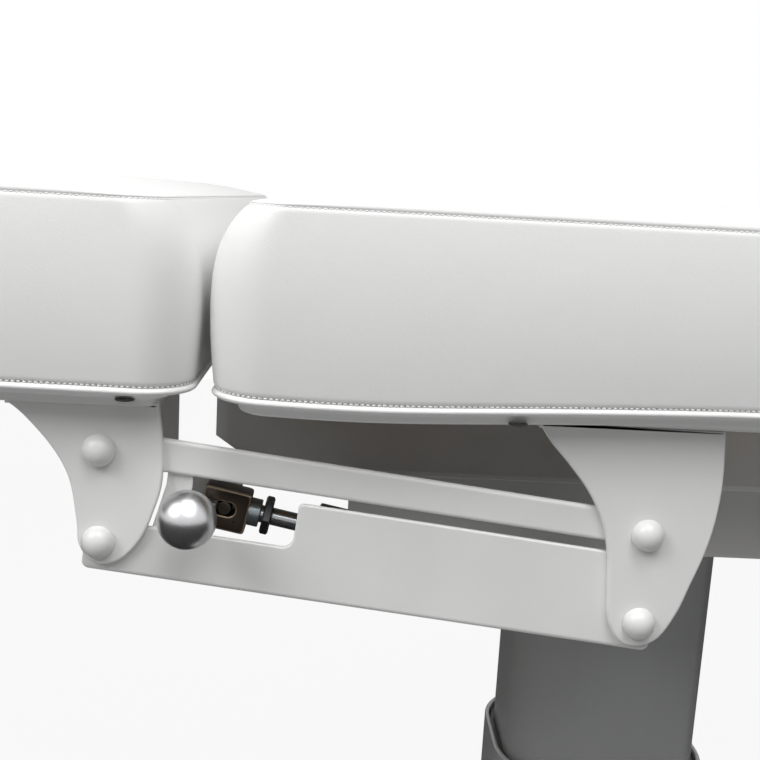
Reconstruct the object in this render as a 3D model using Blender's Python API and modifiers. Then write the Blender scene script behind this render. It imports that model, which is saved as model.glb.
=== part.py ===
"""Electric beauty bed: a headrest, back, seat and leg cushion on two lifting columns.

Metres, +Z up. X runs along the bed with the head end at -X, and -Y is the near side. The origin is on the
floor under the middle of the bed. The headrest hangs on a parallel linkage, one on each side, which a
lockable gas spring with a ball lever holds at the height that it is set to.
"""

import math

import bmesh
import bpy
from mathutils import Matrix, Vector

# Cushions. Heights with DROP or RISE in their name are measured from the bottom seam.
SEAM_HEIGHT = 0.801
HEADREST_LENGTH = 0.328
BACK_LENGTH = 0.608
SEAT_LENGTH = 0.400
LEG_LENGTH = 0.572
CUSHION_WIDTH = 0.690
SECTION_GAP = 0.004
BORDER_RISE = 0.0955
CROWN_RISE = 0.0125
ROLL_DROP = 0.010
CORNER_RADIUS = 0.030
SEAM_TUCK = 0.0035
ROLL_TUCK = 0.011
SIDE_DRAW = 0.0025
EDGE_ROUND = 0.012
EDGE_ROUND_RISE = 0.007
CROWN_SHOULDER = 0.036
CROWN_INSET = 0.110
CORNER_STEPS = 4
LONG_SIDE_POINTS = 5
SHORT_SIDE_POINTS = 3
BULGE_HEIGHT_SHARE = 0.5
CROWN_SHOULDER_SHARE = 0.8
LEAST_CORNER_SHARE = 0.25

# Fits. Touching pieces keep the seat gap, and pins turn in their holes with the pin clearance.
SEAT_GAP = 0.0003
PIN_CLEARANCE = 0.0003
CUT_OVERRUN = 0.002

# Plywood board under each cushion, let into its underside.
BOARD_INSET = 0.024
BOARD_THICKNESS = 0.012
BOARD_DROP = 0.0015

# Rectangular steel tube of the section frames, which lie on the chassis rails.
TUBE_WIDTH = 0.030
TUBE_HEIGHT = 0.050
TUBE_WALL = 0.0025
TUBE_CORNER = 0.004
FRAME_CLEARANCE = 0.058
CROSS_TUBE_LENGTH = 0.030
BACK_FRAME_OVERHANG = 0.0015
BACK_FRAME_SETBACK = 0.006
BACK_TAPER_LENGTH = 0.030
BACK_TAPER_HEIGHT = 0.022
FOOT_FRAME_SETBACK = 0.045

# Chassis rails and the folded cross members that stand on the columns.
RAIL_STEP = 0.022
RAIL_WIDTH = 0.030
RAIL_HEIGHT = 0.050
RAIL_HEAD_REACH = 0.081
RAIL_FOOT_X = 0.335
CROSS_MEMBER_HEIGHT = 0.030
CROSS_MEMBER_WALL = 0.005
CROSS_MEMBER_LIP = 0.022

# Lifting columns.
HEAD_COLUMN_REACH = 0.313
COLUMN_SPACING = 0.500
COLUMN_WIDTH = 0.165
COLUMN_DEPTH = 0.140
COLUMN_WALL = 0.0035
COLUMN_CORNER = 0.045
COLUMN_OVERLAP = 0.151
COLUMN_PLATE_THICKNESS = 0.008
COLUMN_PLATE_MARGIN = 0.0075
SLEEVE_GAP = 0.0045
SLEEVE_WALL = 0.004
SLEEVE_RIM_DROP = 0.365
SLEEVE_FLANGE = 0.022
SLEEVE_FLANGE_THICKNESS = 0.008
GLIDE_HEIGHT = 0.026
GLIDE_SET_DOWN = 0.004
DRIVE_TUBE_RADIUS = 0.022
DRIVE_MOTOR_RADIUS = 0.036
DRIVE_MOTOR_HEIGHT = 0.090
DRIVE_TUBE_TOP_DROP = 0.401
RAM_RADIUS = 0.014
RAM_LENGTH = 0.380
RAM_CLEARANCE = 0.0006
BORE_FLOOR = 0.014

# Base pan and its levelling feet.
PAN_HEAD_OVERHANG = 0.200
PAN_FOOT_OVERHANG = 0.240
PAN_WIDTH = 0.500
PAN_HEIGHT = 0.042
PAN_CORNER = 0.040
PAN_CHAMFER = 0.010
PAN_WALL = 0.004
FOOT_PAD_RADIUS = 0.026
FOOT_PAD_HEIGHT = 0.010
FOOT_NECK_HEIGHT = 0.016
FOOT_STUD_RADIUS = 0.006
FOOT_HEIGHT = 0.022
FOOT_INSET = 0.045

# Hip hinge. The back turns about a pin beside the rounded edge of its cushion.
HIP_RADIUS = 0.040
HIP_CLEAR_OUT = 0.003
HIP_PLATE = 0.004
HIP_PLATE_GAP = 0.0005
HIP_EYE_RADIUS = 0.017
HIP_PIN_RADIUS = 0.006
HIP_PIN_HEAD_RADIUS = 0.012
HIP_PIN_HEAD = 0.005
HIP_STRAP_LENGTH = 0.044
HIP_STRAP_SETBACK = 0.008
BACK_TURN = math.radians(65.0)

# Knee hinge, under the gap between the seat and the leg cushion.
KNEE_DROP = 0.025
KNEE_EYE_RADIUS = 0.012
KNEE_TONGUE = 0.008
KNEE_PIN_RADIUS = 0.005
KNEE_PIN_HEAD_RADIUS = 0.009
KNEE_PIN_HEAD = 0.005
KNEE_SEAT_SETBACK = 0.042
KNEE_LEG_SETBACK = 0.014
LEG_TURN = math.radians(65.0)

# Section drives: a rod moves a cross pin in the slot of a lever on the turned section.
BACK_LEVER_DROP = 0.060
LEG_LEVER_DROP = 0.118
LEVER_THICKNESS = 0.008
LEVER_WIDTH = 0.040
LEVER_PIN_RADIUS = 0.005
LEVER_SLOT_RADIUS = 0.0085
LEVER_SLOT_END = 0.006
LEVER_TRAVEL_SHARE = 1.093
DRIVE_ROD_RADIUS = 0.009
DRIVE_BODY_RADIUS = 0.0185
DRIVE_BODY_LENGTH = 0.258
DRIVE_FRONT_CLEAR = 0.048
DRIVE_ROD_INSERTED = 0.200
DRIVE_BORE_CLEARANCE = 0.0004
FORK_FRONT = 0.012
FORK_BACK = 0.042
FORK_DEPTH = 0.031
FORK_HEIGHT = 0.024
FORK_WIDTH = 0.022
FORK_CLEARANCE = 0.0008
SIDE_MOTOR_RADIUS = 0.021
SIDE_MOTOR_LENGTH = 0.110
SIDE_MOTOR_OFFSET = 0.043
GEARBOX_LENGTH = 0.036
GEARBOX_CORNER = 0.006
GEARBOX_WALL = 0.002
SADDLE_LENGTH = 0.050
SADDLE_WIDTH = 0.026
BACK_SADDLE_START = 0.090
LEG_SADDLE_START = 0.120
BACK_DRIVE_Y = 0.0
LEG_DRIVE_Y = 0.112

# Headrest linkage. Depths are measured inboard from the brackets' outer faces.
BRACKET_SETBACK = 0.0245
BRACKET_THICKNESS = 0.004
BRACKET_FLANGE = 0.034
LINK_LENGTH = 0.300
LINK_SLOPE = math.radians(6.5)
LINK_PITCH = 0.051
BACK_PIVOT_REACH = 0.244
BACK_PIVOT_DROP = 0.072
LINK_SHEET = 0.003
LINK_FLANGE = 0.009
UPPER_BAR_HEIGHT = 0.0205
UPPER_BAR_LIFT = 0.0035
UPPER_BAR_END = 0.012
UPPER_FLANGE_START = 0.022
LOWER_PLATE_BELOW = 0.016
LOWER_PLATE_ABOVE = 0.038
LOWER_ARM_ABOVE = 0.013
LOWER_HEAD_END = 0.0085
LOWER_BACK_END = 0.010
WINDOW_END = 0.1035
WINDOW_CORNER = 0.006
PLATE_CORNER = 0.003
PLATE_END_CORNER = 0.004

# Domed pivot bolts with their nuts.
BOLT_CAP_RADIUS = 0.0093
BOLT_CAP_HEIGHT = 0.0075
BOLT_RADIUS = 0.004
BOLT_SLEEVE_RADIUS = 0.006
NUT_RADIUS = 0.007
NUT_HEIGHT = 0.006

# Lockable gas spring with its release head and ball lever.
SPRING_DEPTH = 0.032
SPRING_PIN_REACH = 0.010
SPRING_PIN_DROP = 0.0755
SPRING_TUBE_RADIUS = 0.014
SPRING_TUBE_REACH = 0.186
SPRING_EDGE_ROUND = 0.0015
SPRING_EYE_RADIUS = 0.009
SPRING_EYE_WIDTH = 0.012
SPRING_EYE_REACH = 0.017
SPRING_BORE_DEPTH = 0.075
SPRING_ROD_RADIUS = 0.005
SPRING_ROD_INSERTED = 0.060
HEAD_LENGTH = 0.025
HEAD_HEIGHT = 0.023
HEAD_DEPTH = 0.015
HEAD_CHAMFER = 0.0015
HEAD_BACK_REACH = 0.014
HEAD_SLOT_LENGTH = 0.0135
HEAD_SLOT_HEIGHT = 0.0098
HEAD_PIN_RADIUS = 0.004
HEAD_PIN_INSET = 0.0006
COLLAR_RADIUS = 0.008
COLLAR_LENGTH = 0.0065
ROD_SEAT = 0.0035
LOCK_NUT_RADIUS = 0.0112
LOCK_NUT_HEIGHT = 0.005
LOCK_NUT_GAP = 0.008
LUG_THICKNESS = 0.004
LUG_GAP = 0.0006
LUG_HEAD_REACH = 0.0325
LUG_BACK_REACH = 0.0075
LUG_EYE_RADIUS = 0.0075
BALL_RADIUS = 0.0155
BALL_OUT = 0.020
BALL_SHIFT = 0.014
BALL_RISE = 0.0075
STEM_RADIUS = 0.0042
LEVER_POST_SHIFT = 0.008
LEVER_POST_DEPTH = 0.0195
LEVER_POST_RADIUS = 0.002
LEVER_EYE_RADIUS = 0.0042
LEVER_EYE_HALF = 0.0047
STEM_ROOT_SHARE = 0.7
LEVER_SHELF_THICKNESS = 0.0035
LEVER_SHELF_HALF = 0.0045

# Headrest frame tube, with a cheek plate welded over half of each end.
HEADREST_TUBE_SETBACK = 0.050
HEADREST_TUBE_LENGTH = 0.013
HEADREST_TUBE_HEIGHT = 0.034
HEADREST_CHEEK_SETBACK = 0.020
HEADREST_CHEEK_THICKNESS = 0.004
HEADREST_TUBE_SHORT = 0.0005

# Bracket edges, as (along the bed from the cushions' gap, height over the bottom seam) points.
HEADREST_BRACKET_HEAD_X = -0.106
HEADREST_BRACKET_GAP_X = -0.023
HEADREST_BRACKET_HEAD_EDGE = ((-0.094, -0.021), (-0.079, -0.038), (-0.070, -0.055), (-0.066, -0.078))
HEADREST_BRACKET_TIP = ((-0.065, -0.090), (-0.060, -0.099), (-0.052, -0.102), (-0.041, -0.098))
HEADREST_BRACKET_GAP_EDGE = ((-0.031, -0.086), (-0.025, -0.071), (-0.020, -0.056), (-0.020, -0.028))
BACK_BRACKET_HEAD_X = 0.179
BACK_BRACKET_FOOT_X = 0.281
BACK_BRACKET_HEAD_EDGE = ((0.183, -0.019), (0.198, -0.035), (0.210, -0.050), (0.219, -0.067), (0.224, -0.086))
BACK_BRACKET_TIP = ((0.227, -0.122), (0.236, -0.135), (0.245, -0.137), (0.256, -0.132))
BACK_BRACKET_FOOT_EDGE = ((0.265, -0.117), (0.271, -0.100), (0.276, -0.084), (0.281, -0.063), (0.283, -0.045))

# Control box and its mains inlet.
CONTROL_LENGTH = 0.200
CONTROL_WIDTH = 0.110
CONTROL_HEIGHT = 0.046
CONTROL_X = -0.080
CONTROL_CORNER = 0.008
INLET_RECESS_WIDTH = 0.026
INLET_RECESS_HEIGHT = 0.019
INLET_RECESS_DEPTH = 0.012
INLET_CORNER = 0.004

# Drawn size of the empties on the joint axes.
PIVOT_SIZE = 0.030

# Facets.
ARC_STEPS = 5
BALL_STEPS = 8
ROUND_SIDES = 20
SMALL_ROUND_SIDES = 14

NEAR = -1
FAR = 1
ACROSS_X = Matrix(((0, 0, 1, 0), (1, 0, 0, 0), (0, 1, 0, 0), (0, 0, 0, 1)))

# Places along the bed, worked out from the section lengths.
BED_LENGTH = HEADREST_LENGTH + BACK_LENGTH + SEAT_LENGTH + LEG_LENGTH + 3 * SECTION_GAP
HEADREST_START = -BED_LENGTH / 2
HEADREST_END = HEADREST_START + HEADREST_LENGTH
BACK_START = HEADREST_END + SECTION_GAP
BACK_END = BACK_START + BACK_LENGTH
SEAT_START = BACK_END + SECTION_GAP
SEAT_END = SEAT_START + SEAT_LENGTH
LEG_START = SEAT_END + SECTION_GAP
LEG_END = LEG_START + LEG_LENGTH
HEAD_GAP_X = (HEADREST_END + BACK_START) / 2
HALF_WIDTH = CUSHION_WIDTH / 2

# Half widths of the frames, kept clear of the brackets' outer faces, and of the rails under them.
BRACKET_FACE = HALF_WIDTH - BRACKET_SETBACK
FRAME_OUTER_HALF = BRACKET_FACE - FRAME_CLEARANCE
RAIL_OUTER_HALF = FRAME_OUTER_HALF - RAIL_STEP
HEADREST_TUBE_HALF = FRAME_OUTER_HALF - HEADREST_TUBE_SHORT

# Heights.
BOARD_UNDER = SEAM_HEIGHT - ROLL_DROP - BOARD_DROP
FRAME_TOP = BOARD_UNDER - SEAT_GAP
FRAME_BOTTOM = FRAME_TOP - TUBE_HEIGHT
RAIL_TOP = FRAME_BOTTOM - SEAT_GAP
RAIL_BOTTOM = RAIL_TOP - RAIL_HEIGHT
CROSS_BOTTOM = RAIL_BOTTOM
CROSS_TOP = CROSS_BOTTOM + CROSS_MEMBER_HEIGHT
COLUMN_TOP = CROSS_BOTTOM - SEAT_GAP
SLEEVE_RIM = SEAM_HEIGHT - SLEEVE_RIM_DROP
PAN_BOTTOM = FOOT_HEIGHT + SEAT_GAP
PAN_TOP = PAN_BOTTOM + PAN_HEIGHT
COLUMN_BOTTOM = SLEEVE_RIM - COLUMN_OVERLAP
HEAD_COLUMN_X = HEAD_GAP_X + HEAD_COLUMN_REACH
FOOT_COLUMN_X = HEAD_COLUMN_X + COLUMN_SPACING

# Joint axes.
HIP_X = BACK_END - HIP_RADIUS
HIP_Z = SEAM_HEIGHT + BORDER_RISE + EDGE_ROUND_RISE - HIP_RADIUS
KNEE_X = (SEAT_END + LEG_START) / 2
KNEE_Z = SEAM_HEIGHT - KNEE_DROP
UPPER_PIVOT = Vector((HEAD_GAP_X + BACK_PIVOT_REACH, 0.0, SEAM_HEIGHT - BACK_PIVOT_DROP))
LOWER_PIVOT = UPPER_PIVOT - Vector((0.0, 0.0, LINK_PITCH))
LINK_RUN = Vector((-LINK_LENGTH * math.cos(LINK_SLOPE), 0.0, LINK_LENGTH * math.sin(LINK_SLOPE)))
HEADREST_UPPER_PIVOT = UPPER_PIVOT + LINK_RUN
HEADREST_LOWER_PIVOT = LOWER_PIVOT + LINK_RUN
SPRING_Y = -(BRACKET_FACE - SPRING_DEPTH)
SPRING_PIN = Vector((HEAD_GAP_X + SPRING_PIN_REACH, SPRING_Y, SEAM_HEIGHT - SPRING_PIN_DROP))
SPRING_FOOT = Vector((LOWER_PIVOT.x, SPRING_Y, LOWER_PIVOT.z))
SPRING_LINE = (SPRING_PIN - SPRING_FOOT).normalized()
SPRING_LENGTH = (SPRING_PIN - SPRING_FOOT).length
SPRING_TILT = math.atan2(SPRING_LINE.z, -SPRING_LINE.x)

# Section drives. The rod's pin lies under the hinge axis in the middle of the section's turn.
BACK_PIN_Z = SEAM_HEIGHT - BACK_LEVER_DROP
LEG_PIN_Z = KNEE_Z - LEG_LEVER_DROP
DRIVE_LEAN_SHARE = LEVER_TRAVEL_SHARE / 2
BACK_PIN_X = HIP_X + DRIVE_LEAN_SHARE * (HIP_Z - BACK_PIN_Z) * BACK_TURN
LEG_PIN_X = KNEE_X + DRIVE_LEAN_SHARE * LEG_LEVER_DROP * LEG_TURN
LEG_STROKE = LEVER_TRAVEL_SHARE * LEG_LEVER_DROP * LEG_TURN

COLOURS = {
    "white_leather": ((0.86, 0.86, 0.855), 0.42, 0.0),
    "white_paint": ((0.80, 0.80, 0.795), 0.30, 0.0),
    "grey_paint": ((0.21, 0.21, 0.205), 0.38, 0.0),
    "silver_paint": ((0.36, 0.36, 0.37), 0.34, 0.3),
    "birch_ply": ((0.62, 0.48, 0.32), 0.60, 0.0),
    "steel": ((0.55, 0.56, 0.57), 0.30, 1.0),
    "chrome": ((0.80, 0.80, 0.81), 0.10, 1.0),
    "bronze": ((0.12, 0.085, 0.06), 0.32, 0.8),
    "black_plastic": ((0.02, 0.02, 0.021), 0.45, 0.0),
    "spring_black": ((0.035, 0.035, 0.036), 0.30, 0.2),
    "rubber": ((0.03, 0.03, 0.03), 0.80, 0.0),
}


def clear_scene():
    for obj in list(bpy.data.objects):
        bpy.data.objects.remove(obj, do_unlink=True)


def new_collection(name):
    collection = bpy.data.collections.new(name)
    bpy.context.scene.collection.children.link(collection)
    return collection


clear_scene()
BED = new_collection("electric_beauty_bed")
CUTTERS = new_collection("cutters")
CUTTERS.hide_render = True
MATERIALS = {}
for colour_name, (colour, roughness, metallic) in COLOURS.items():
    material = bpy.data.materials.new(colour_name)
    material.use_nodes = True
    shader = material.node_tree.nodes["Principled BSDF"]
    shader.inputs["Base Color"].default_value = (*colour, 1.0)
    shader.inputs["Roughness"].default_value = roughness
    shader.inputs["Metallic"].default_value = metallic
    MATERIALS[colour_name] = material


def keep(obj, colour_name):
    """Puts a finished piece in the bed's collection, with its material."""
    BED.objects.link(obj)
    obj.data.materials.clear()
    obj.data.materials.append(MATERIALS[colour_name])
    return obj


def mesh_object(name, bm):
    bmesh.ops.recalc_face_normals(bm, faces=bm.faces)
    mesh = bpy.data.meshes.new(name)
    bm.to_mesh(mesh)
    bm.free()
    return bpy.data.objects.new(name, mesh)


def smooth(obj, sharp=math.radians(35.0)):
    obj.data.shade_smooth()
    obj.data.set_sharp_from_angle(angle=sharp)
    return obj


def boolean(obj, other, operation):
    """Leaves a Boolean on obj, and puts the other piece with the cutters, to move along with obj."""
    CUTTERS.objects.link(other)
    other.parent = obj
    other.matrix_parent_inverse = obj.matrix_world.inverted()
    other.hide_render = True
    other.display_type = "WIRE"
    modifier = obj.modifiers.new(operation.lower(), "BOOLEAN")
    modifier.operation = operation
    modifier.object = other
    return obj


def union(obj, *others):
    for other in others:
        boolean(obj, other, "UNION")
    return obj


def cut(obj, *others):
    for other in others:
        boolean(obj, other, "DIFFERENCE")
    return obj


# Outlines are lists of (u, v) points, anticlockwise.
def arc(centre, radius, start, end, steps=ARC_STEPS):
    """Points from the start angle to the end angle, both included."""
    points = []
    for step in range(steps + 1):
        angle = start + (end - start) * step / steps
        points.append((centre[0] + radius * math.cos(angle), centre[1] + radius * math.sin(angle)))
    return points


def box_outline(u0, u1, v0, v1, radius=0.0, steps=2):
    """A rectangle with rounded corners, or sharp ones where the radius is zero."""
    if radius == 0.0:
        return [(u0, v0), (u1, v0), (u1, v1), (u0, v1)]
    quarter = math.pi / 2
    corners = ((u1 - radius, v0 + radius, -1), (u1 - radius, v1 - radius, 0), (u0 + radius, v1 - radius, 1))
    corners += ((u0 + radius, v0 + radius, 2),)
    points = []
    for u, v, turn in corners:
        points += arc((u, v), radius, turn * quarter, (turn + 1) * quarter, steps)
    return points


def circle(centre, radius, sides=SMALL_ROUND_SIDES):
    return arc(centre, radius, 0.0, 2 * math.pi * (sides - 1) / sides, sides - 1)


def slot_outline(centre, half_run, radius, angle, steps=ARC_STEPS):
    """A slot with round ends whose run lies at an angle."""
    along = (half_run * math.cos(angle), half_run * math.sin(angle))
    first = (centre[0] + along[0], centre[1] + along[1])
    last = (centre[0] - along[0], centre[1] - along[1])
    quarter = math.pi / 2
    points = arc(first, radius, angle - quarter, angle + quarter, steps)
    return points + arc(last, radius, angle + quarter, angle + 3 * quarter, steps)


def sheet(name, outlines, low, high, plane="XZ"):
    """A flat piece from low to high across its plane, with its outside's outline first and then its holes."""
    data = bpy.data.curves.new(name, "CURVE")
    data.dimensions = "2D"
    data.fill_mode = "BOTH"
    data.extrude = (high - low) / 2
    for outline in outlines:
        spline = data.splines.new("POLY")
        spline.points.add(len(outline) - 1)
        for point, (u, v) in zip(spline.points, outline):
            point.co = (u, v, 0.0, 1.0)
        spline.use_cyclic_u = True
    guide = bpy.data.objects.new(name, data)
    BED.objects.link(guide)
    bpy.context.view_layer.update()
    evaluated = guide.evaluated_get(bpy.context.evaluated_depsgraph_get())
    mesh = bpy.data.meshes.new_from_object(evaluated)
    bpy.data.objects.remove(guide)
    bm = bmesh.new()
    bm.from_mesh(mesh)
    bpy.data.meshes.remove(mesh)
    bmesh.ops.remove_doubles(bm, verts=bm.verts, dist=SEAT_GAP / 10)
    middle = (low + high) / 2
    turns = {
        "XY": Matrix.Translation((0.0, 0.0, middle)),
        "XZ": Matrix.Translation((0.0, middle, 0.0)) @ Matrix.Rotation(math.pi / 2, 4, "X"),
        "YZ": Matrix.Translation((middle, 0.0, 0.0)) @ ACROSS_X,
    }
    bmesh.ops.transform(bm, matrix=turns[plane], verts=bm.verts)
    return mesh_object(name, bm)


def rod(name, start, end, radius, sides=SMALL_ROUND_SIDES):
    """A round bar between two points."""
    start, end = Vector(start), Vector(end)
    run = end - start
    turn = Vector((0.0, 0.0, 1.0)).rotation_difference(run.normalized()).to_matrix().to_4x4()
    bm = bmesh.new()
    bmesh.ops.create_cone(
        bm, cap_ends=True, segments=sides, radius1=radius, radius2=radius, depth=run.length,
        matrix=Matrix.Translation((start + end) / 2) @ turn,
    )
    return mesh_object(name, bm)


def block(name, low, high):
    bm = bmesh.new()
    size = [b - a for a, b in zip(low, high)]
    middle = [(a + b) / 2 for a, b in zip(low, high)]
    bmesh.ops.create_cube(bm, size=1.0, matrix=Matrix.Translation(middle) @ Matrix.Diagonal((*size, 1.0)))
    return mesh_object(name, bm)


def turned(name, profile, place, sides=ROUND_SIDES):
    """A turned piece. The profile's (radius, height) points run down its outer side, and place sets it up."""
    mesh = bpy.data.meshes.new(name)
    edges = [(index, index + 1) for index in range(len(profile) - 1)]
    if profile[0][0] > 0.0:
        edges.append((len(profile) - 1, 0))
    mesh.from_pydata([(radius, 0.0, height) for radius, height in profile], edges, [])
    obj = bpy.data.objects.new(name, mesh)
    screw = obj.modifiers.new("turn", "SCREW")
    screw.steps = sides
    screw.render_steps = sides
    screw.use_merge_vertices = True
    screw.merge_threshold = SEAT_GAP / 10
    screw.use_smooth_shade = True
    obj.matrix_world = place
    return obj


def loft(name, rings, closed=False):
    """A skin over rings of equal counts of points. A closed loft joins its last ring to its first."""
    bm = bmesh.new()
    rows = [[bm.verts.new(point) for point in ring] for ring in rings]
    pairs = list(zip(rows, rows[1:]))
    if closed:
        pairs.append((rows[-1], rows[0]))
    else:
        bm.faces.new(list(reversed(rows[0])))
        bm.faces.new(rows[-1])
    for lower, upper in pairs:
        for index in range(len(lower)):
            after = (index + 1) % len(lower)
            bm.faces.new((lower[index], lower[after], upper[after], upper[index]))
    return mesh_object(name, bm)


def plan_ring(x0, x1, half, radius, inset, z, draw=0.0, long_points=0, short_points=0, steps=CORNER_STEPS):
    """A rounded rectangle seen from above, moved in by the inset, whose sides draw in between the corners."""
    radius = max(radius - inset, radius * LEAST_CORNER_SHARE)
    x0, x1, y0, y1 = x0 + inset, x1 - inset, -half + inset, half - inset
    quarter = math.pi / 2
    corners = (
        ((x1 - radius, y0 + radius), -quarter, short_points, (1.0, 0.0)),
        ((x1 - radius, y1 - radius), 0.0, long_points, (0.0, 1.0)),
        ((x0 + radius, y1 - radius), quarter, short_points, (-1.0, 0.0)),
        ((x0 + radius, y0 + radius), 2 * quarter, long_points, (0.0, -1.0)),
    )
    arcs = [arc(centre, radius, start, start + quarter, steps) for centre, start, _, _ in corners]
    points = []
    for index, (_, _, count, outward) in enumerate(corners):
        points += arcs[index]
        first, last = arcs[index][-1], arcs[(index + 1) % 4][0]
        for step in range(1, count + 1):
            t = step / (count + 1)
            pull = draw * (1 - (2 * t - 1) ** 2)
            points.append(
                tuple(first[axis] * (1 - t) + last[axis] * t - outward[axis] * pull for axis in (0, 1))
            )
    return [(x, y, z) for x, y in points]


def cushion(name, x0, x1, round_foot=False, round_head=False):
    """A boxed cushion: recess for its board, roll, bottom seam, side, top seam and crowned top."""
    shape = {
        "draw": SIDE_DRAW,
        "long_points": LONG_SIDE_POINTS,
        "short_points": SHORT_SIDE_POINTS,
    }
    top_seam = SEAM_HEIGHT + BORDER_RISE
    recess = BOARD_INSET - SEAT_GAP
    ceiling = BOARD_UNDER + BOARD_THICKNESS + SEAT_GAP
    roll = SEAM_HEIGHT - ROLL_DROP
    levels = (
        (recess, ceiling),
        (recess, roll),
        (ROLL_TUCK, roll),
        (SEAM_TUCK, roll + ROLL_DROP * (1 - CROWN_SHOULDER_SHARE)),
        (SEAM_TUCK, SEAM_HEIGHT),
        (0.0, SEAM_HEIGHT + BORDER_RISE * BULGE_HEIGHT_SHARE),
        (SEAM_TUCK, top_seam),
        (EDGE_ROUND, top_seam + EDGE_ROUND_RISE),
        (CROWN_SHOULDER, top_seam + EDGE_ROUND_RISE + (CROWN_RISE - EDGE_ROUND_RISE) * CROWN_SHOULDER_SHARE),
        (CROWN_INSET, top_seam + CROWN_RISE),
    )
    rings = [plan_ring(x0, x1, HALF_WIDTH, CORNER_RADIUS, inset, z, **shape) for inset, z in levels]
    ends = []
    if round_foot:
        ends.append((x1 - HIP_RADIUS, 1))
    if round_head:
        ends.append((x0 + HIP_RADIUS, -1))
    rings = [[round_end(point, ends) for point in ring] for ring in rings]
    return keep(smooth(loft(name, rings)), "white_leather")


def round_end(point, ends):
    """Keeps an end's upper corner inside a quarter circle about the height of the hip hinge."""
    x, y, z = point
    for centre, side in ends:
        across, above = (x - centre) * side, z - HIP_Z
        if across > 0.0 and above > 0.0:
            reach = math.hypot(across, above)
            share = min(1.0, HIP_RADIUS / reach)
            x, z = centre + across * share * side, HIP_Z + above * share
    return (x, y, z)


def board(name, x0, x1):
    ring = plan_ring(
        x0, x1, HALF_WIDTH, CORNER_RADIUS, BOARD_INSET, 0.0, SIDE_DRAW, LONG_SIDE_POINTS, SHORT_SIDE_POINTS
    )
    outline = [(x, y) for x, y, _ in ring]
    return keep(sheet(name, [outline], BOARD_UNDER, BOARD_UNDER + BOARD_THICKNESS, "XY"), "birch_ply")


def tube_outlines(u0, u1, v0, v1):
    inner = TUBE_WALL
    return [
        box_outline(u0, u1, v0, v1, TUBE_CORNER),
        box_outline(u0 + inner, u1 - inner, v0 + inner, v1 - inner, TUBE_CORNER - inner),
    ]


def side_span(side, inner, outer):
    """The span of Y between two distances from the middle, on one side of the bed."""
    return (inner, outer) if side == FAR else (-outer, -inner)


def side_tube(name, side, x0, x1):
    """A lengthwise frame tube, open at its ends."""
    y0, y1 = side_span(side, FRAME_OUTER_HALF - TUBE_WIDTH, FRAME_OUTER_HALF)
    return sheet(name, tube_outlines(y0, y1, FRAME_BOTTOM, FRAME_TOP), x0, x1, "YZ")


def cross_tube(name, x0, x1, half, bottom=FRAME_BOTTOM):
    return sheet(name, tube_outlines(x0, x1, bottom, FRAME_TOP), -half, half, "XZ")


# Base pan, levelling feet and lifting columns.
def build_base():
    x0, x1 = HEAD_COLUMN_X - PAN_HEAD_OVERHANG, FOOT_COLUMN_X + PAN_FOOT_OVERHANG
    half = PAN_WIDTH / 2
    ceiling = PAN_TOP - PAN_WALL
    inside_chamfer = PAN_CHAMFER + PAN_WALL / 2
    levels = (
        (inside_chamfer, ceiling),
        (PAN_WALL, ceiling - PAN_CHAMFER),
        (PAN_WALL, PAN_BOTTOM),
        (0.0, PAN_BOTTOM),
        (0.0, PAN_TOP - PAN_CHAMFER),
        (PAN_CHAMFER, PAN_TOP),
    )
    rings = [plan_ring(x0, x1, half, PAN_CORNER, inset, z) for inset, z in levels]
    keep(smooth(loft("base_pan", rings)), "white_paint")
    profile = [
        (0.0, ceiling - SEAT_GAP),
        (FOOT_STUD_RADIUS, ceiling - SEAT_GAP),
        (FOOT_STUD_RADIUS, FOOT_NECK_HEIGHT),
        (FOOT_STUD_RADIUS * 2, FOOT_NECK_HEIGHT),
        (FOOT_PAD_RADIUS, FOOT_PAD_HEIGHT),
        (FOOT_PAD_RADIUS, 0.0),
        (0.0, 0.0),
    ]
    corners = (("head", x0 + FOOT_INSET), ("foot", x1 - FOOT_INSET))
    for end, x in corners:
        for side_name, side in (("near", NEAR), ("far", FAR)):
            place = Matrix.Translation((x, side * (half - FOOT_INSET), 0.0))
            keep(turned("levelling_foot_%s_%s" % (end, side_name), profile, place), "rubber")


def column_ring(x, margin, z):
    """The columns' outline with softly crowned faces, moved out by the margin."""
    half_x, half_y = COLUMN_WIDTH / 2 + margin, COLUMN_DEPTH / 2 + margin
    return plan_ring(x - half_x, x + half_x, half_y, COLUMN_CORNER + margin, 0.0, z)


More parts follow.
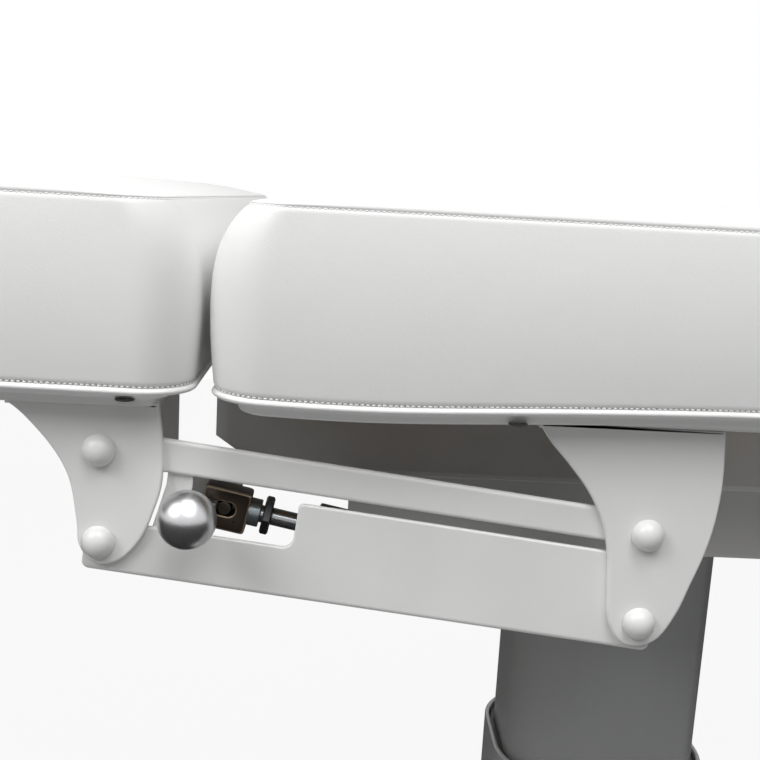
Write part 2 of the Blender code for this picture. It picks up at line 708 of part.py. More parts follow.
def build_column(end, x):
    outer = SLEEVE_GAP + SLEEVE_WALL
    bottom = PAN_TOP + SEAT_GAP
    sleeve_levels = (
        (SLEEVE_GAP, bottom),
        (outer + SLEEVE_FLANGE, bottom),
        (outer + SLEEVE_FLANGE, bottom + SLEEVE_FLANGE_THICKNESS),
        (outer, bottom + SLEEVE_FLANGE_THICKNESS),
        (outer, SLEEVE_RIM),
        (SLEEVE_GAP, SLEEVE_RIM),
    )
    rings = [column_ring(x, margin, z) for margin, z in sleeve_levels]
    keep(smooth(loft("column_sleeve_" + end, rings, closed=True)), "silver_paint")
    glide_top = SLEEVE_RIM - GLIDE_SET_DOWN
    glide_levels = (
        (SEAT_GAP, glide_top - GLIDE_HEIGHT),
        (SLEEVE_GAP - SEAT_GAP, glide_top - GLIDE_HEIGHT),
        (SLEEVE_GAP - SEAT_GAP, glide_top),
        (SEAT_GAP, glide_top),
    )
    rings = [column_ring(x, margin, z) for margin, z in glide_levels]
    keep(smooth(loft("column_glide_" + end, rings, closed=True)), "black_plastic")
    plate_under = COLUMN_TOP - COLUMN_PLATE_THICKNESS
    inner_levels = (
        (-COLUMN_WALL, plate_under),
        (-COLUMN_WALL, COLUMN_BOTTOM),
        (0.0, COLUMN_BOTTOM),
        (0.0, plate_under),
        (COLUMN_PLATE_MARGIN, plate_under),
        (COLUMN_PLATE_MARGIN, COLUMN_TOP),
    )
    rings = [column_ring(x, margin, z) for margin, z in inner_levels]
    inner = keep(smooth(loft("column_inner_" + end, rings)), "silver_paint")
    ram_top = plate_under + COLUMN_PLATE_THICKNESS / 2
    union(inner, rod("ram_" + end, (x, 0.0, plate_under - RAM_LENGTH), (x, 0.0, ram_top), RAM_RADIUS))
    bore = RAM_RADIUS + RAM_CLEARANCE
    tube_top = SEAM_HEIGHT - DRIVE_TUBE_TOP_DROP
    profile = [
        (0.0, bottom + BORE_FLOOR),
        (bore, bottom + BORE_FLOOR),
        (bore, tube_top),
        (DRIVE_TUBE_RADIUS, tube_top),
        (DRIVE_TUBE_RADIUS, bottom + DRIVE_MOTOR_HEIGHT),
        (DRIVE_MOTOR_RADIUS, bottom + DRIVE_MOTOR_HEIGHT),
        (DRIVE_MOTOR_RADIUS, bottom),
        (0.0, bottom),
    ]
    keep(turned("lift_drive_" + end, profile, Matrix.Translation((x, 0.0, 0.0))), "black_plastic")


def build_chassis():
    rail_inner = RAIL_OUTER_HALF - RAIL_WIDTH
    rail_head = HEAD_GAP_X + RAIL_HEAD_REACH
    for side_name, side in (("near", NEAR), ("far", FAR)):
        y0, y1 = side_span(side, rail_inner, RAIL_OUTER_HALF)
        rail = sheet("rail", tube_outlines(y0, y1, RAIL_BOTTOM, RAIL_TOP), rail_head, RAIL_FOOT_X, "YZ")
        rail.name = "chassis_rail_" + side_name
        keep(rail, "grey_paint")
    for end, x in (("head", HEAD_COLUMN_X), ("foot", FOOT_COLUMN_X)):
        half = COLUMN_WIDTH / 2 + COLUMN_PLATE_MARGIN
        wall, lip = CROSS_MEMBER_WALL, CROSS_MEMBER_LIP
        outline = [
            (x - half, CROSS_BOTTOM), (x - half + lip, CROSS_BOTTOM), (x - half + lip, CROSS_BOTTOM + wall),
            (x - half + wall, CROSS_BOTTOM + wall), (x - half + wall, CROSS_TOP - wall),
            (x + half - wall, CROSS_TOP - wall), (x + half - wall, CROSS_BOTTOM + wall),
            (x + half - lip, CROSS_BOTTOM + wall), (x + half - lip, CROSS_BOTTOM), (x + half, CROSS_BOTTOM),
            (x + half, CROSS_TOP), (x - half, CROSS_TOP),
        ]
        reach = rail_inner - SEAT_GAP
        keep(sheet("chassis_cross_" + end, [outline], -reach, reach, "XZ"), "grey_paint")
    y1 = -rail_inner + SEAT_GAP + CONTROL_WIDTH
    y0 = -rail_inner + SEAT_GAP
    x0, x1 = CONTROL_X - CONTROL_LENGTH / 2, CONTROL_X + CONTROL_LENGTH / 2
    top = RAIL_TOP - CONTROL_CORNER / 2
    outline = box_outline(y0, y1, top - CONTROL_HEIGHT, top, CONTROL_CORNER)
    box = keep(sheet("control_box", [outline], x0, x1, "YZ"), "black_plastic")
    y, z = (y0 + y1) / 2, top - CONTROL_HEIGHT / 2
    recess = box_outline(
        y - INLET_RECESS_WIDTH / 2, y + INLET_RECESS_WIDTH / 2,
        z - INLET_RECESS_HEIGHT / 2, z + INLET_RECESS_HEIGHT / 2, INLET_CORNER,
    )
    cut(box, sheet("inlet_recess", [recess], x0 - CUT_OVERRUN, x0 + INLET_RECESS_DEPTH, "YZ"))


# Hip hinge plates, in the plane of the bed's side.
def hip_layers(side, layer):
    """The Y span of the back's plate, layer 0, or the seat's plate, layer 1."""
    start = HALF_WIDTH + HIP_CLEAR_OUT + layer * (HIP_PLATE + HIP_PLATE_GAP)
    return side_span(side, start, start + HIP_PLATE)


def hip_plate(name, side, layer, strap_x0, strap_x1):
    """An eye round the hip axis that runs down past the cushion to a strap under the board."""
    y0, y1 = hip_layers(side, layer)
    foot = FRAME_TOP - HIP_PLATE
    toward = 1 if strap_x0 > HIP_X else -1
    quarter = math.pi / 2
    if toward > 0:
        eye = arc((HIP_X, HIP_Z), HIP_EYE_RADIUS, quarter / 2, 2 * quarter + quarter / 2, 2 * ARC_STEPS)
        outline = eye + [(strap_x0, foot), (strap_x1, foot), (strap_x1, FRAME_TOP)]
    else:
        eye = arc((HIP_X, HIP_Z), HIP_EYE_RADIUS, -quarter / 2, quarter + quarter / 2, 2 * ARC_STEPS)
        outline = [(strap_x0, FRAME_TOP), (strap_x0, foot), (strap_x1, foot)] + eye
    hole = circle((HIP_X, HIP_Z), HIP_PIN_RADIUS + PIN_CLEARANCE)
    plate = sheet(name, [outline, hole] if layer == 0 else [outline], y0, y1)
    inner = FRAME_OUTER_HALF - TUBE_WIDTH / 2
    outer = max(abs(y0), abs(y1)) - HIP_PLATE / 2
    s0, s1 = side_span(side, inner, outer)
    inset = SEAT_GAP / 2
    low, high = (strap_x0 + inset, s0, foot + inset), (strap_x1 - inset, s1, FRAME_TOP - inset)
    strap = block(name + "_strap", low, high)
    return plate, strap


def build_seat():
    cushion("seat_cushion", SEAT_START, SEAT_END, round_head=True)
    board("seat_board", SEAT_START, SEAT_END)
    strap_x0 = SEAT_START + HIP_STRAP_SETBACK
    for side_name, side in (("near", NEAR), ("far", FAR)):
        name = "seat_side_" + side_name
        member = keep(side_tube(name, side, SEAT_START, KNEE_X - KNEE_SEAT_SETBACK), "grey_paint")
        plate, strap = hip_plate("seat_hip_" + side_name, side, 1, strap_x0, strap_x0 + HIP_STRAP_LENGTH)
        inner, outer = hip_layers(FAR, 0)[0], hip_layers(FAR, 1)[1]
        ends = (HIP_X, side * inner, HIP_Z), (HIP_X, side * (outer + HIP_PIN_HEAD / 2), HIP_Z)
        pin = rod("hip_pin_" + side_name, *ends, HIP_PIN_RADIUS)
        head = rod(
            "hip_head_" + side_name, (HIP_X, side * (outer - HIP_PLATE / 2), HIP_Z),
            (HIP_X, side * (outer + HIP_PIN_HEAD), HIP_Z), HIP_PIN_HEAD_RADIUS, ROUND_SIDES,
        )
        tongue_inner = FRAME_OUTER_HALF - TUBE_WIDTH
        y0, y1 = side_span(side, tongue_inner + SEAT_GAP / 2, tongue_inner + KNEE_TONGUE)
        root = KNEE_X - KNEE_SEAT_SETBACK - TUBE_WIDTH
        half_turn = math.pi / 2
        outline = arc((KNEE_X, KNEE_Z), KNEE_EYE_RADIUS, -half_turn, half_turn, 2 * ARC_STEPS)
        outline += [(root, KNEE_Z + KNEE_EYE_RADIUS), (root, KNEE_Z - KNEE_EYE_RADIUS)]
        tongue = sheet("seat_tongue_" + side_name, [outline], y0, y1)
        reach = FRAME_OUTER_HALF + KNEE_PIN_HEAD
        knee_pin = rod(
            "knee_pin_" + side_name, (KNEE_X, side * (tongue_inner + KNEE_TONGUE / 2), KNEE_Z),
            (KNEE_X, side * (FRAME_OUTER_HALF + KNEE_PIN_HEAD / 2), KNEE_Z), KNEE_PIN_RADIUS,
        )
        knee_head = rod(
            "knee_head_" + side_name, (KNEE_X, side * (FRAME_OUTER_HALF + SEAT_GAP), KNEE_Z),
            (KNEE_X, side * reach, KNEE_Z), KNEE_PIN_HEAD_RADIUS,
        )
        union(member, strap, plate, pin, head, tongue, knee_pin, knee_head)


def add_lever(member, name, axis, pin_z, root_x, turn, y):
    """Joins a plate to its cross tube, with a slot that points at the hinge axis."""
    lean = turn / 2
    drop = axis[1] - pin_z
    longest = drop / math.cos(lean)
    along = (math.sin(lean), -math.cos(lean))
    across = (-along[1], along[0])
    middle = (drop + longest) / 2
    half_run = (longest - drop) / 2 + LEVER_SLOT_END
    centre = (axis[0] + middle * along[0], axis[1] + middle * along[1])
    angle = math.atan2(along[1], along[0])
    end = (centre[0] + half_run * along[0], centre[1] + half_run * along[1])
    tip = arc(end, LEVER_WIDTH / 2, angle - math.pi / 2, angle + math.pi / 2, 2 * ARC_STEPS)
    top = FRAME_TOP - SEAT_GAP
    right = end[0] + across[0] * LEVER_WIDTH / 2
    height = end[1] + across[1] * LEVER_WIDTH / 2
    right -= (top - height) * along[0] / -along[1]
    left = root_x + TUBE_WALL / 2
    outline = [(left, top), (left, FRAME_BOTTOM + TUBE_WALL / 2)] + tip + [(right, top)]
    slot = slot_outline(centre, half_run, LEVER_SLOT_RADIUS, angle)
    union(member, sheet(name, [outline, slot], y - LEVER_THICKNESS / 2, y + LEVER_THICKNESS / 2))


def build_back():
    cushion("back_cushion", BACK_START, BACK_END, round_foot=True)
    board("back_board", BACK_START, BACK_END)
    start, end = BACK_START - BACK_FRAME_OVERHANG, HIP_X - BACK_FRAME_SETBACK
    strap_x1 = HIP_X - HIP_STRAP_SETBACK
    for side_name, side in (("near", NEAR), ("far", FAR)):
        member = keep(side_tube("back_side_" + side_name, side, start, end), "grey_paint")
        y0, y1 = side_span(side, FRAME_OUTER_HALF - TUBE_WIDTH - CUT_OVERRUN, FRAME_OUTER_HALF + CUT_OVERRUN)
        reach = start - CUT_OVERRUN
        taper = [
            (reach, FRAME_BOTTOM - CUT_OVERRUN), (start + BACK_TAPER_LENGTH, FRAME_BOTTOM - CUT_OVERRUN),
            (start + BACK_TAPER_LENGTH, FRAME_BOTTOM), (reach, FRAME_BOTTOM + BACK_TAPER_HEIGHT),
        ]
        cut(member, sheet("back_taper_" + side_name, [taper], y0, y1))
        plate, strap = hip_plate("back_hip_" + side_name, side, 0, strap_x1 - HIP_STRAP_LENGTH, strap_x1)
        union(member, strap, plate)
    inner = FRAME_OUTER_HALF - TUBE_WIDTH - SEAT_GAP
    head_x = start + BACK_TAPER_LENGTH
    keep(cross_tube("back_cross_head", head_x, head_x + CROSS_TUBE_LENGTH, inner), "grey_paint")
    foot_x = end - CROSS_TUBE_LENGTH
    member = keep(cross_tube("back_cross_lever", foot_x, end, inner), "grey_paint")
    add_lever(member, "back_lever", (HIP_X, HIP_Z), BACK_PIN_Z, foot_x, BACK_TURN, BACK_DRIVE_Y)


def build_leg():
    cushion("leg_cushion", LEG_START, LEG_END)
    board("leg_board", LEG_START, LEG_END)
    start = KNEE_X + KNEE_LEG_SETBACK
    for side_name, side in (("near", NEAR), ("far", FAR)):
        tube = side_tube("leg_side_" + side_name, side, start, LEG_END - FOOT_FRAME_SETBACK)
        member = keep(tube, "grey_paint")
        tongue = FRAME_OUTER_HALF - TUBE_WIDTH + KNEE_TONGUE
        y0, y1 = side_span(side, tongue + SEAT_GAP, FRAME_OUTER_HALF - SEAT_GAP)
        quarter = math.pi / 2
        outline = arc((KNEE_X, KNEE_Z), KNEE_EYE_RADIUS, quarter, 3 * quarter, 2 * ARC_STEPS)
        root = start + KNEE_EYE_RADIUS
        outline += [(root, KNEE_Z - KNEE_EYE_RADIUS), (root, KNEE_Z + KNEE_EYE_RADIUS)]
        hole = circle((KNEE_X, KNEE_Z), KNEE_PIN_RADIUS + PIN_CLEARANCE)
        union(member, sheet("leg_ear_" + side_name, [outline, hole], y0, y1))
    inner = FRAME_OUTER_HALF - TUBE_WIDTH - SEAT_GAP
    member = keep(cross_tube("leg_cross_lever", start, start + CROSS_TUBE_LENGTH, inner), "grey_paint")
    add_lever(member, "leg_lever", (KNEE_X, KNEE_Z), LEG_PIN_Z, start, LEG_TURN, LEG_DRIVE_Y)


# Section drives.
def build_drive(name, pin, front_x, toward, saddle_start, saddle_z):
    """A fixed housing with its motor beside it, and a rod whose fork holds the cross pin.

    The housing lies on the side of the pin that toward gives, 1 for the foot end and -1 for the head end.
    """
    pin_x, y, pin_z = pin

    def at(distance, start=front_x):
        return start + toward * distance

    ends = (at(0.0), y, pin_z), (at(DRIVE_BODY_LENGTH), y, pin_z)
    body = rod(name + "_drive", *ends, DRIVE_BODY_RADIUS, ROUND_SIDES)
    keep(body, "black_plastic")
    motor_y = y + SIDE_MOTOR_OFFSET
    motor_end = DRIVE_BODY_LENGTH - GEARBOX_LENGTH / 2
    motor_ends = (at(motor_end - SIDE_MOTOR_LENGTH), motor_y, pin_z), (at(motor_end), motor_y, pin_z)
    motor = rod(name + "_motor", *motor_ends, SIDE_MOTOR_RADIUS, ROUND_SIDES)
    around = SIDE_MOTOR_RADIUS + GEARBOX_WALL
    gearbox = box_outline(y - around, motor_y + around, pin_z - around, pin_z + around, GEARBOX_CORNER)
    case_x = sorted((at(DRIVE_BODY_LENGTH - GEARBOX_LENGTH), at(DRIVE_BODY_LENGTH + GEARBOX_CORNER)))
    case = sheet(name + "_gearbox", [gearbox], *case_x, "YZ")
    z0, z1 = sorted((pin_z, saddle_z))
    x0, x1 = sorted((at(saddle_start), at(saddle_start + SADDLE_LENGTH)))
    saddle = block(name + "_saddle", (x0, y - SADDLE_WIDTH / 2, z0), (x1, y + SADDLE_WIDTH / 2, z1))
    union(body, motor, case, saddle)
    bore = DRIVE_ROD_RADIUS + DRIVE_BORE_CLEARANCE
    bore_ends = (at(-CUT_OVERRUN), y, pin_z), (at(DRIVE_ROD_INSERTED + CUT_OVERRUN), y, pin_z)
    cut(body, rod(name + "_bore", *bore_ends, bore, ROUND_SIDES))
    tail = at(DRIVE_FRONT_CLEAR + DRIVE_ROD_INSERTED, pin_x)
    neck = at(FORK_DEPTH + FORK_FRONT / 2, pin_x)
    ends = (neck, y, pin_z), (tail, y, pin_z)
    piece = keep(rod(name + "_rod", *ends, DRIVE_ROD_RADIUS, ROUND_SIDES), "steel")
    height, half = FORK_HEIGHT / 2, FORK_WIDTH / 2
    fork_x = sorted((at(-FORK_FRONT, pin_x), at(FORK_BACK, pin_x)))
    outline = box_outline(*fork_x, pin_z - height, pin_z + height, FORK_FRONT / 2)
    union(piece, sheet(name + "_fork", [outline], y - half, y + half))
    gap = LEVER_THICKNESS / 2 + FORK_CLEARANCE
    x0, x1 = sorted((at(-FORK_FRONT - CUT_OVERRUN, pin_x), at(FORK_DEPTH, pin_x)))
    slot = (x0, y - gap, pin_z - height - CUT_OVERRUN), (x1, y + gap, pin_z + height + CUT_OVERRUN)
    cut(piece, block(name + "_fork_slot", *slot))
    reach = half - FORK_CLEARANCE
    ends = (pin_x, y - reach, pin_z), (pin_x, y + reach, pin_z)
    union(piece, rod(name + "_cross_pin", *ends, LEVER_PIN_RADIUS))


# Headrest linkage.
def from_gap(points):
    return [(HEAD_GAP_X + u, SEAM_HEIGHT + v) for u, v in points]


def on_line(origin, direction, points):
    """Turns (along, above) points on a sloping line into (x, z) points."""
    above = (-direction.z, direction.x) if direction.x > 0.0 else (direction.z, -direction.x)
    return [
        (origin.x + s * direction.x + t * above[0], origin.z + s * direction.z + t * above[1])
        for s, t in points
    ]


def bracket(name, side, outline, span, pivots):
    holes = [circle((p.x, p.z), BOLT_RADIUS + PIN_CLEARANCE) for p in pivots]
    y0, y1 = side_span(side, BRACKET_FACE - BRACKET_THICKNESS, BRACKET_FACE)
    plate = keep(sheet(name, [outline] + holes, y0, y1), "white_paint")
    y0, y1 = side_span(side, BRACKET_FACE - BRACKET_FLANGE, BRACKET_FACE - BRACKET_THICKNESS / 2)
    low = FRAME_TOP - BRACKET_THICKNESS
    union(plate, block(name + "_flange", (span[0], y0, low), (span[1], y1, FRAME_TOP)))


def pivot_bolt(name, side, pivot, spring=False):
    """A domed bolt through a bracket and a link, with its nut. The spring's own bolt is longer."""
    inner = BRACKET_THICKNESS + LINK_SHEET + 2 * SEAT_GAP
    profile = [(0.0, BOLT_CAP_HEIGHT)]
    for step in range(1, ARC_STEPS + 1):
        angle = step / ARC_STEPS * math.pi / 2
        rise = (BOLT_CAP_HEIGHT - SEAT_GAP) * math.cos(angle)
        profile.append((BOLT_CAP_RADIUS * math.sin(angle), SEAT_GAP + rise))
    profile.append((BOLT_RADIUS, SEAT_GAP))
    if spring:
        near = SPRING_DEPTH - SPRING_EYE_WIDTH / 2 - SEAT_GAP
        sleeve = BOLT_SLEEVE_RADIUS
        profile += [(BOLT_RADIUS, -inner), (sleeve, -inner), (sleeve, -near), (BOLT_RADIUS, -near)]
        inner = SPRING_DEPTH + SPRING_EYE_WIDTH / 2 + SEAT_GAP
    end = -inner - NUT_HEIGHT
    profile += [(BOLT_RADIUS, -inner), (NUT_RADIUS, -inner), (NUT_RADIUS, end), (0.0, end)]
    turn = Matrix.Rotation(-side * math.pi / 2, 4, "X")
    place = Matrix.Translation((pivot.x, side * BRACKET_FACE, pivot.z)) @ turn
    keep(turned(name, profile, place, SMALL_ROUND_SIDES), "white_paint")


def link_span(side, inner, outer):
    """The span of Y between two depths behind the links' outer face."""
    face = BRACKET_FACE - BRACKET_THICKNESS - SEAT_GAP
    return side_span(side, face - outer, face - inner)


def build_upper_bar(name, side):
    direction = LINK_RUN.normalized()
    radius = UPPER_BAR_HEIGHT / 2
    quarter = math.pi / 2
    ends = arc((LINK_LENGTH, UPPER_BAR_LIFT), radius, -quarter, quarter, 2 * ARC_STEPS)
    ends += arc((0.0, UPPER_BAR_LIFT), radius, quarter, 3 * quarter, 2 * ARC_STEPS)
    holes = [circle((along, 0.0), BOLT_RADIUS + PIN_CLEARANCE) for along in (0.0, LINK_LENGTH)]
    outlines = [on_line(UPPER_PIVOT, direction, points) for points in [ends] + holes]
    bar = keep(sheet(name, outlines, *link_span(side, 0.0, LINK_SHEET)), "white_paint")
    s0, s1 = UPPER_FLANGE_START, LINK_LENGTH - UPPER_FLANGE_START
    top, low = UPPER_BAR_LIFT + radius, UPPER_BAR_LIFT - radius
    inset = LINK_SHEET / 2
    flanges = (("top", top - LINK_SHEET, top - SEAT_GAP), ("low", low + SEAT_GAP, low + LINK_SHEET))
    for part, t0, t1 in flanges:
        outline = on_line(UPPER_PIVOT, direction, box_outline(s0, s1, t0, t1))
        union(bar, sheet(name + "_" + part, [outline], *link_span(side, inset, LINK_FLANGE)))
    return bar, direction, low


def add_lug(bar, direction, low):
    """The plate that hangs from the bar behind the release head, with the cross pin."""
    run = SPRING_PIN - UPPER_PIVOT
    above = (direction.z, -direction.x)
    s = run.x * direction.x + run.z * direction.z
    t = run.x * above[0] + run.z * above[1]
    front = SPRING_Y + HEAD_DEPTH / 2 + LUG_GAP
    middle = front + LUG_THICKNESS / 2
    depth = BRACKET_FACE - BRACKET_THICKNESS - SEAT_GAP + middle
    quarter = math.pi / 2
    shelf_low, shelf_high = low + 2 * SEAT_GAP, low + LINK_SHEET - SEAT_GAP
    shelf_start, shelf_end = s - LUG_BACK_REACH + SEAT_GAP, s + LUG_HEAD_REACH - SEAT_GAP
    shelf = box_outline(shelf_start, shelf_end, shelf_low, shelf_high)
    outline = on_line(UPPER_PIVOT, direction, shelf)
    union(bar, sheet("lug_shelf", [outline], *link_span(NEAR, LINK_SHEET / 2, depth)))
    plate = arc((s, t), LUG_EYE_RADIUS, 2 * quarter, 3 * quarter + quarter / 2)
    plate += [(s + LUG_HEAD_REACH, low - LUG_EYE_RADIUS), (s + LUG_HEAD_REACH, low + LINK_SHEET / 2)]
    plate += [(s - LUG_EYE_RADIUS, low + LINK_SHEET / 2)]
    outline = on_line(UPPER_PIVOT, direction, plate)
    union(bar, sheet("lug_plate", [outline], front, front + LUG_THICKNESS))
    tip = SPRING_Y - HEAD_DEPTH / 2 + HEAD_PIN_INSET
    ends = (SPRING_PIN.x, tip, SPRING_PIN.z), (SPRING_PIN.x, middle, SPRING_PIN.z)
    union(bar, rod("lug_pin", *ends, HEAD_PIN_RADIUS))


def build_lower_plate(name, side):
    direction = LINK_RUN.normalized()
    low, high, arm = -LOWER_PLATE_BELOW, LOWER_PLATE_ABOVE, LOWER_ARM_ABOVE
    window = LINK_LENGTH - WINDOW_END
    quarter = math.pi / 2
    head, back = LINK_LENGTH + LOWER_HEAD_END, -LOWER_BACK_END
    corner = PLATE_END_CORNER
    outline = arc((back + corner, low + corner), corner, 2 * quarter, 3 * quarter)
    outline += arc((head - corner, low + corner), corner, 3 * quarter, 4 * quarter)
    outline += arc((head - corner, arm - corner), corner, 0.0, quarter)
    outline += arc((window + WINDOW_CORNER, arm + WINDOW_CORNER), WINDOW_CORNER, 3 * quarter, 2 * quarter)
    outline += arc((window - PLATE_CORNER, high - PLATE_CORNER), PLATE_CORNER, 0.0, quarter)
    outline += arc((back + corner, high - corner), corner, quarter, 2 * quarter)
    holes = [circle((along, 0.0), BOLT_RADIUS + PIN_CLEARANCE) for along in (0.0, LINK_LENGTH)]
    outlines = [on_line(LOWER_PIVOT, direction, points) for points in [outline] + holes]
    plate = keep(sheet(name, outlines, *link_span(side, 0.0, LINK_SHEET)), "white_paint")
    flange = on_line(LOWER_PIVOT, direction, box_outline(0.0, LINK_LENGTH, low + SEAT_GAP, low + LINK_SHEET))
    union(plate, sheet(name + "_fold", [flange], *link_span(side, LINK_SHEET / 2, LINK_FLANGE)))


def build_gas_spring():
    line = SPRING_LINE
    turn = Vector((0.0, 0.0, 1.0)).rotation_difference(line).to_matrix().to_4x4()
    mouth, radius = SPRING_TUBE_REACH, SPRING_TUBE_RADIUS
    bore = SPRING_ROD_RADIUS + PIN_CLEARANCE
    round_over = SPRING_EDGE_ROUND
    profile = [
        (0.0, mouth - SPRING_BORE_DEPTH), (bore, mouth - SPRING_BORE_DEPTH), (bore, mouth),
        (radius - round_over, mouth), (radius, mouth - round_over), (radius, SPRING_EYE_REACH + round_over),
        (radius - round_over, SPRING_EYE_REACH), (0.0, SPRING_EYE_REACH),
    ]
    place = Matrix.Translation(SPRING_FOOT) @ turn
    tube = keep(turned("gas_cylinder", profile, place), "spring_black")
    eye = arc((0.0, 0.0), SPRING_EYE_RADIUS, math.pi / 2, 3 * math.pi / 2, 2 * ARC_STEPS)
    root = SPRING_EYE_REACH + round_over
    eye += [(root, -SPRING_EYE_RADIUS), (root, SPRING_EYE_RADIUS)]
    hole = circle((0.0, 0.0), BOLT_RADIUS + PIN_CLEARANCE)
    half = SPRING_EYE_WIDTH / 2
    outlines = [on_line(SPRING_FOOT, line, points) for points in (eye, hole)]
    eye_piece = sheet("gas_eye", outlines, SPRING_Y - half, SPRING_Y + half)
    tube_mesh = tube.matrix_world.inverted()
    eye_piece.data.transform(tube_mesh)
    eye_piece.matrix_world = place
    union(tube, eye_piece)
    face = SPRING_LENGTH - HEAD_BACK_REACH
    start = SPRING_FOOT + line * (mouth - SPRING_ROD_INSERTED)
    end = SPRING_FOOT + line * (face + ROD_SEAT)
    spring_rod = keep(rod("gas_rod", start, end, SPRING_ROD_RADIUS), "steel")
    nut_end = SPRING_FOOT + line * (face - LOCK_NUT_GAP)
    nut_start = nut_end - line * LOCK_NUT_HEIGHT
    union(spring_rod, rod("lock_nut", nut_start, nut_end, LOCK_NUT_RADIUS, 6))
    build_release_head(line, face)


def build_release_head(line, face):
    half = HEAD_DEPTH / 2
    top = HEAD_HEIGHT / 2
    body = box_outline(face, face + HEAD_LENGTH, -top, top, HEAD_CHAMFER, 1)
    slot_run = (HEAD_SLOT_LENGTH - HEAD_SLOT_HEIGHT) / 2
    slot = slot_outline((SPRING_LENGTH, 0.0), slot_run, HEAD_SLOT_HEIGHT / 2, 0.0)
    outlines = [on_line(SPRING_FOOT, line, points) for points in (body, slot)]
    head = keep(sheet("release_head", outlines, SPRING_Y - half, SPRING_Y + half), "bronze")
    post_s = SPRING_LENGTH + LEVER_POST_SHIFT
    post_y = -(BRACKET_FACE - LEVER_POST_DEPTH)
    under = -LEVER_EYE_HALF - SEAT_GAP
    ledge = under - LEVER_SHELF_THICKNESS
    shelf = box_outline(post_s - LEVER_SHELF_HALF, post_s + LEVER_SHELF_HALF, ledge, under)
    outline = on_line(SPRING_FOOT, line, shelf)
    shelf_y = post_y - LEVER_SHELF_HALF, SPRING_Y - half + HEAD_PIN_INSET
    union(head, sheet("lever_shelf", [outline], *shelf_y))
    ends = on_line(SPRING_FOOT, line, [(post_s, (ledge + under) / 2), (post_s, LEVER_EYE_HALF)])
    union(head, rod("lever_post", *[(x, post_y, z) for x, z in ends], LEVER_POST_RADIUS))
    collar = SPRING_FOOT + line * (face - COLLAR_LENGTH), SPRING_FOOT + line * (face + ROD_SEAT / 2)
    union(head, rod("collar", *collar, COLLAR_RADIUS, ROUND_SIDES))
    start = SPRING_FOOT + line * (face - COLLAR_LENGTH - CUT_OVERRUN)
    end = SPRING_FOOT + line * (face + ROD_SEAT + SEAT_GAP)
    cut(head, rod("rod_seat", start, end, SPRING_ROD_RADIUS + SEAT_GAP))
    above = Vector((-line.z, 0.0, line.x)) * -1
    post = SPRING_FOOT + line * post_s
    post.y = post_y
    ball = Vector((SPRING_PIN.x - BALL_SHIFT, -(BRACKET_FACE + BALL_OUT), SPRING_PIN.z + BALL_RISE))
    ends = post - above * LEVER_EYE_HALF, post + above * (LEVER_EYE_HALF - SEAT_GAP)
    eye = keep(rod("release_lever", *ends, LEVER_EYE_RADIUS), "chrome")
    reach = (ball - post).normalized()
    union(eye, rod("lever_stem", post + reach * (LEVER_EYE_RADIUS * STEM_ROOT_SHARE), ball, STEM_RADIUS))
    profile = []
    for step in range(BALL_STEPS + 1):
        angle = math.pi * step / BALL_STEPS
        profile.append((BALL_RADIUS * math.sin(angle), BALL_RADIUS * math.cos(angle)))
    profile[0], profile[-1] = (0.0, BALL_RADIUS), (0.0, -BALL_RADIUS)
    place = Matrix.Translation(ball) @ Matrix.Rotation(math.pi / 2, 4, "X")
    union(eye, turned("lever_ball", profile, place))
    hole = LEVER_EYE_HALF + CUT_OVERRUN
    cut(eye, rod("post_hole", post - above * hole, post + above * hole, LEVER_POST_RADIUS + PIN_CLEARANCE))


def build_headrest():
    cushion("headrest_cushion", HEADREST_START, HEADREST_END)
    board("headrest_board", HEADREST_START, HEADREST_END)
    x1 = HEADREST_END - HEADREST_TUBE_SETBACK
    x0 = x1 - HEADREST_TUBE_LENGTH
    cross = cross_tube("headrest_cross", x0, x1, HEADREST_TUBE_HALF, FRAME_TOP - HEADREST_TUBE_HEIGHT)
    keep(cross, "grey_paint")
    for side in (NEAR, FAR):
        inner = HEADREST_TUBE_HALF - HEADREST_CHEEK_THICKNESS
        y0, y1 = side_span(side, inner, HEADREST_TUBE_HALF + SEAT_GAP)
        low = FRAME_TOP - HEADREST_TUBE_HEIGHT - SEAT_GAP
        corner = (HEADREST_END - HEADREST_CHEEK_SETBACK, y1, FRAME_TOP - SEAT_GAP / 2)
        union(cross, block("headrest_cheek", ((x0 + x1) / 2, y0, low), corner))
    headrest_edge = HEADREST_BRACKET_HEAD_EDGE + HEADREST_BRACKET_TIP + HEADREST_BRACKET_GAP_EDGE
    back_edge = BACK_BRACKET_HEAD_EDGE + BACK_BRACKET_TIP + BACK_BRACKET_FOOT_EDGE
    sets = (
        ("headrest", headrest_edge, (HEADREST_BRACKET_HEAD_X, HEADREST_BRACKET_GAP_X),
         (HEADREST_UPPER_PIVOT, HEADREST_LOWER_PIVOT)),
        ("back", back_edge, (BACK_BRACKET_HEAD_X, BACK_BRACKET_FOOT_X), (UPPER_PIVOT, LOWER_PIVOT)),
    )
    for side_name, side in (("near", NEAR), ("far", FAR)):
        for section, edge, span, pivots in sets:
            x0, x1 = HEAD_GAP_X + span[0], HEAD_GAP_X + span[1]
            outline = [(x0, FRAME_TOP)] + from_gap(edge) + [(x1, FRAME_TOP)]
            bracket("%s_bracket_%s" % (section, side_name), side, outline, (x0, x1), pivots)
            for level, pivot in zip(("upper", "lower"), pivots):
                spring = side == NEAR and pivot is LOWER_PIVOT
                pivot_bolt("bolt_%s_%s_%s" % (section, level, side_name), side, pivot, spring)
        bar, direction, low = build_upper_bar("upper_bar_" + side_name, side)
        if side == NEAR:
            add_lug(bar, direction, low)
        build_lower_plate("lower_plate_" + side_name, side)


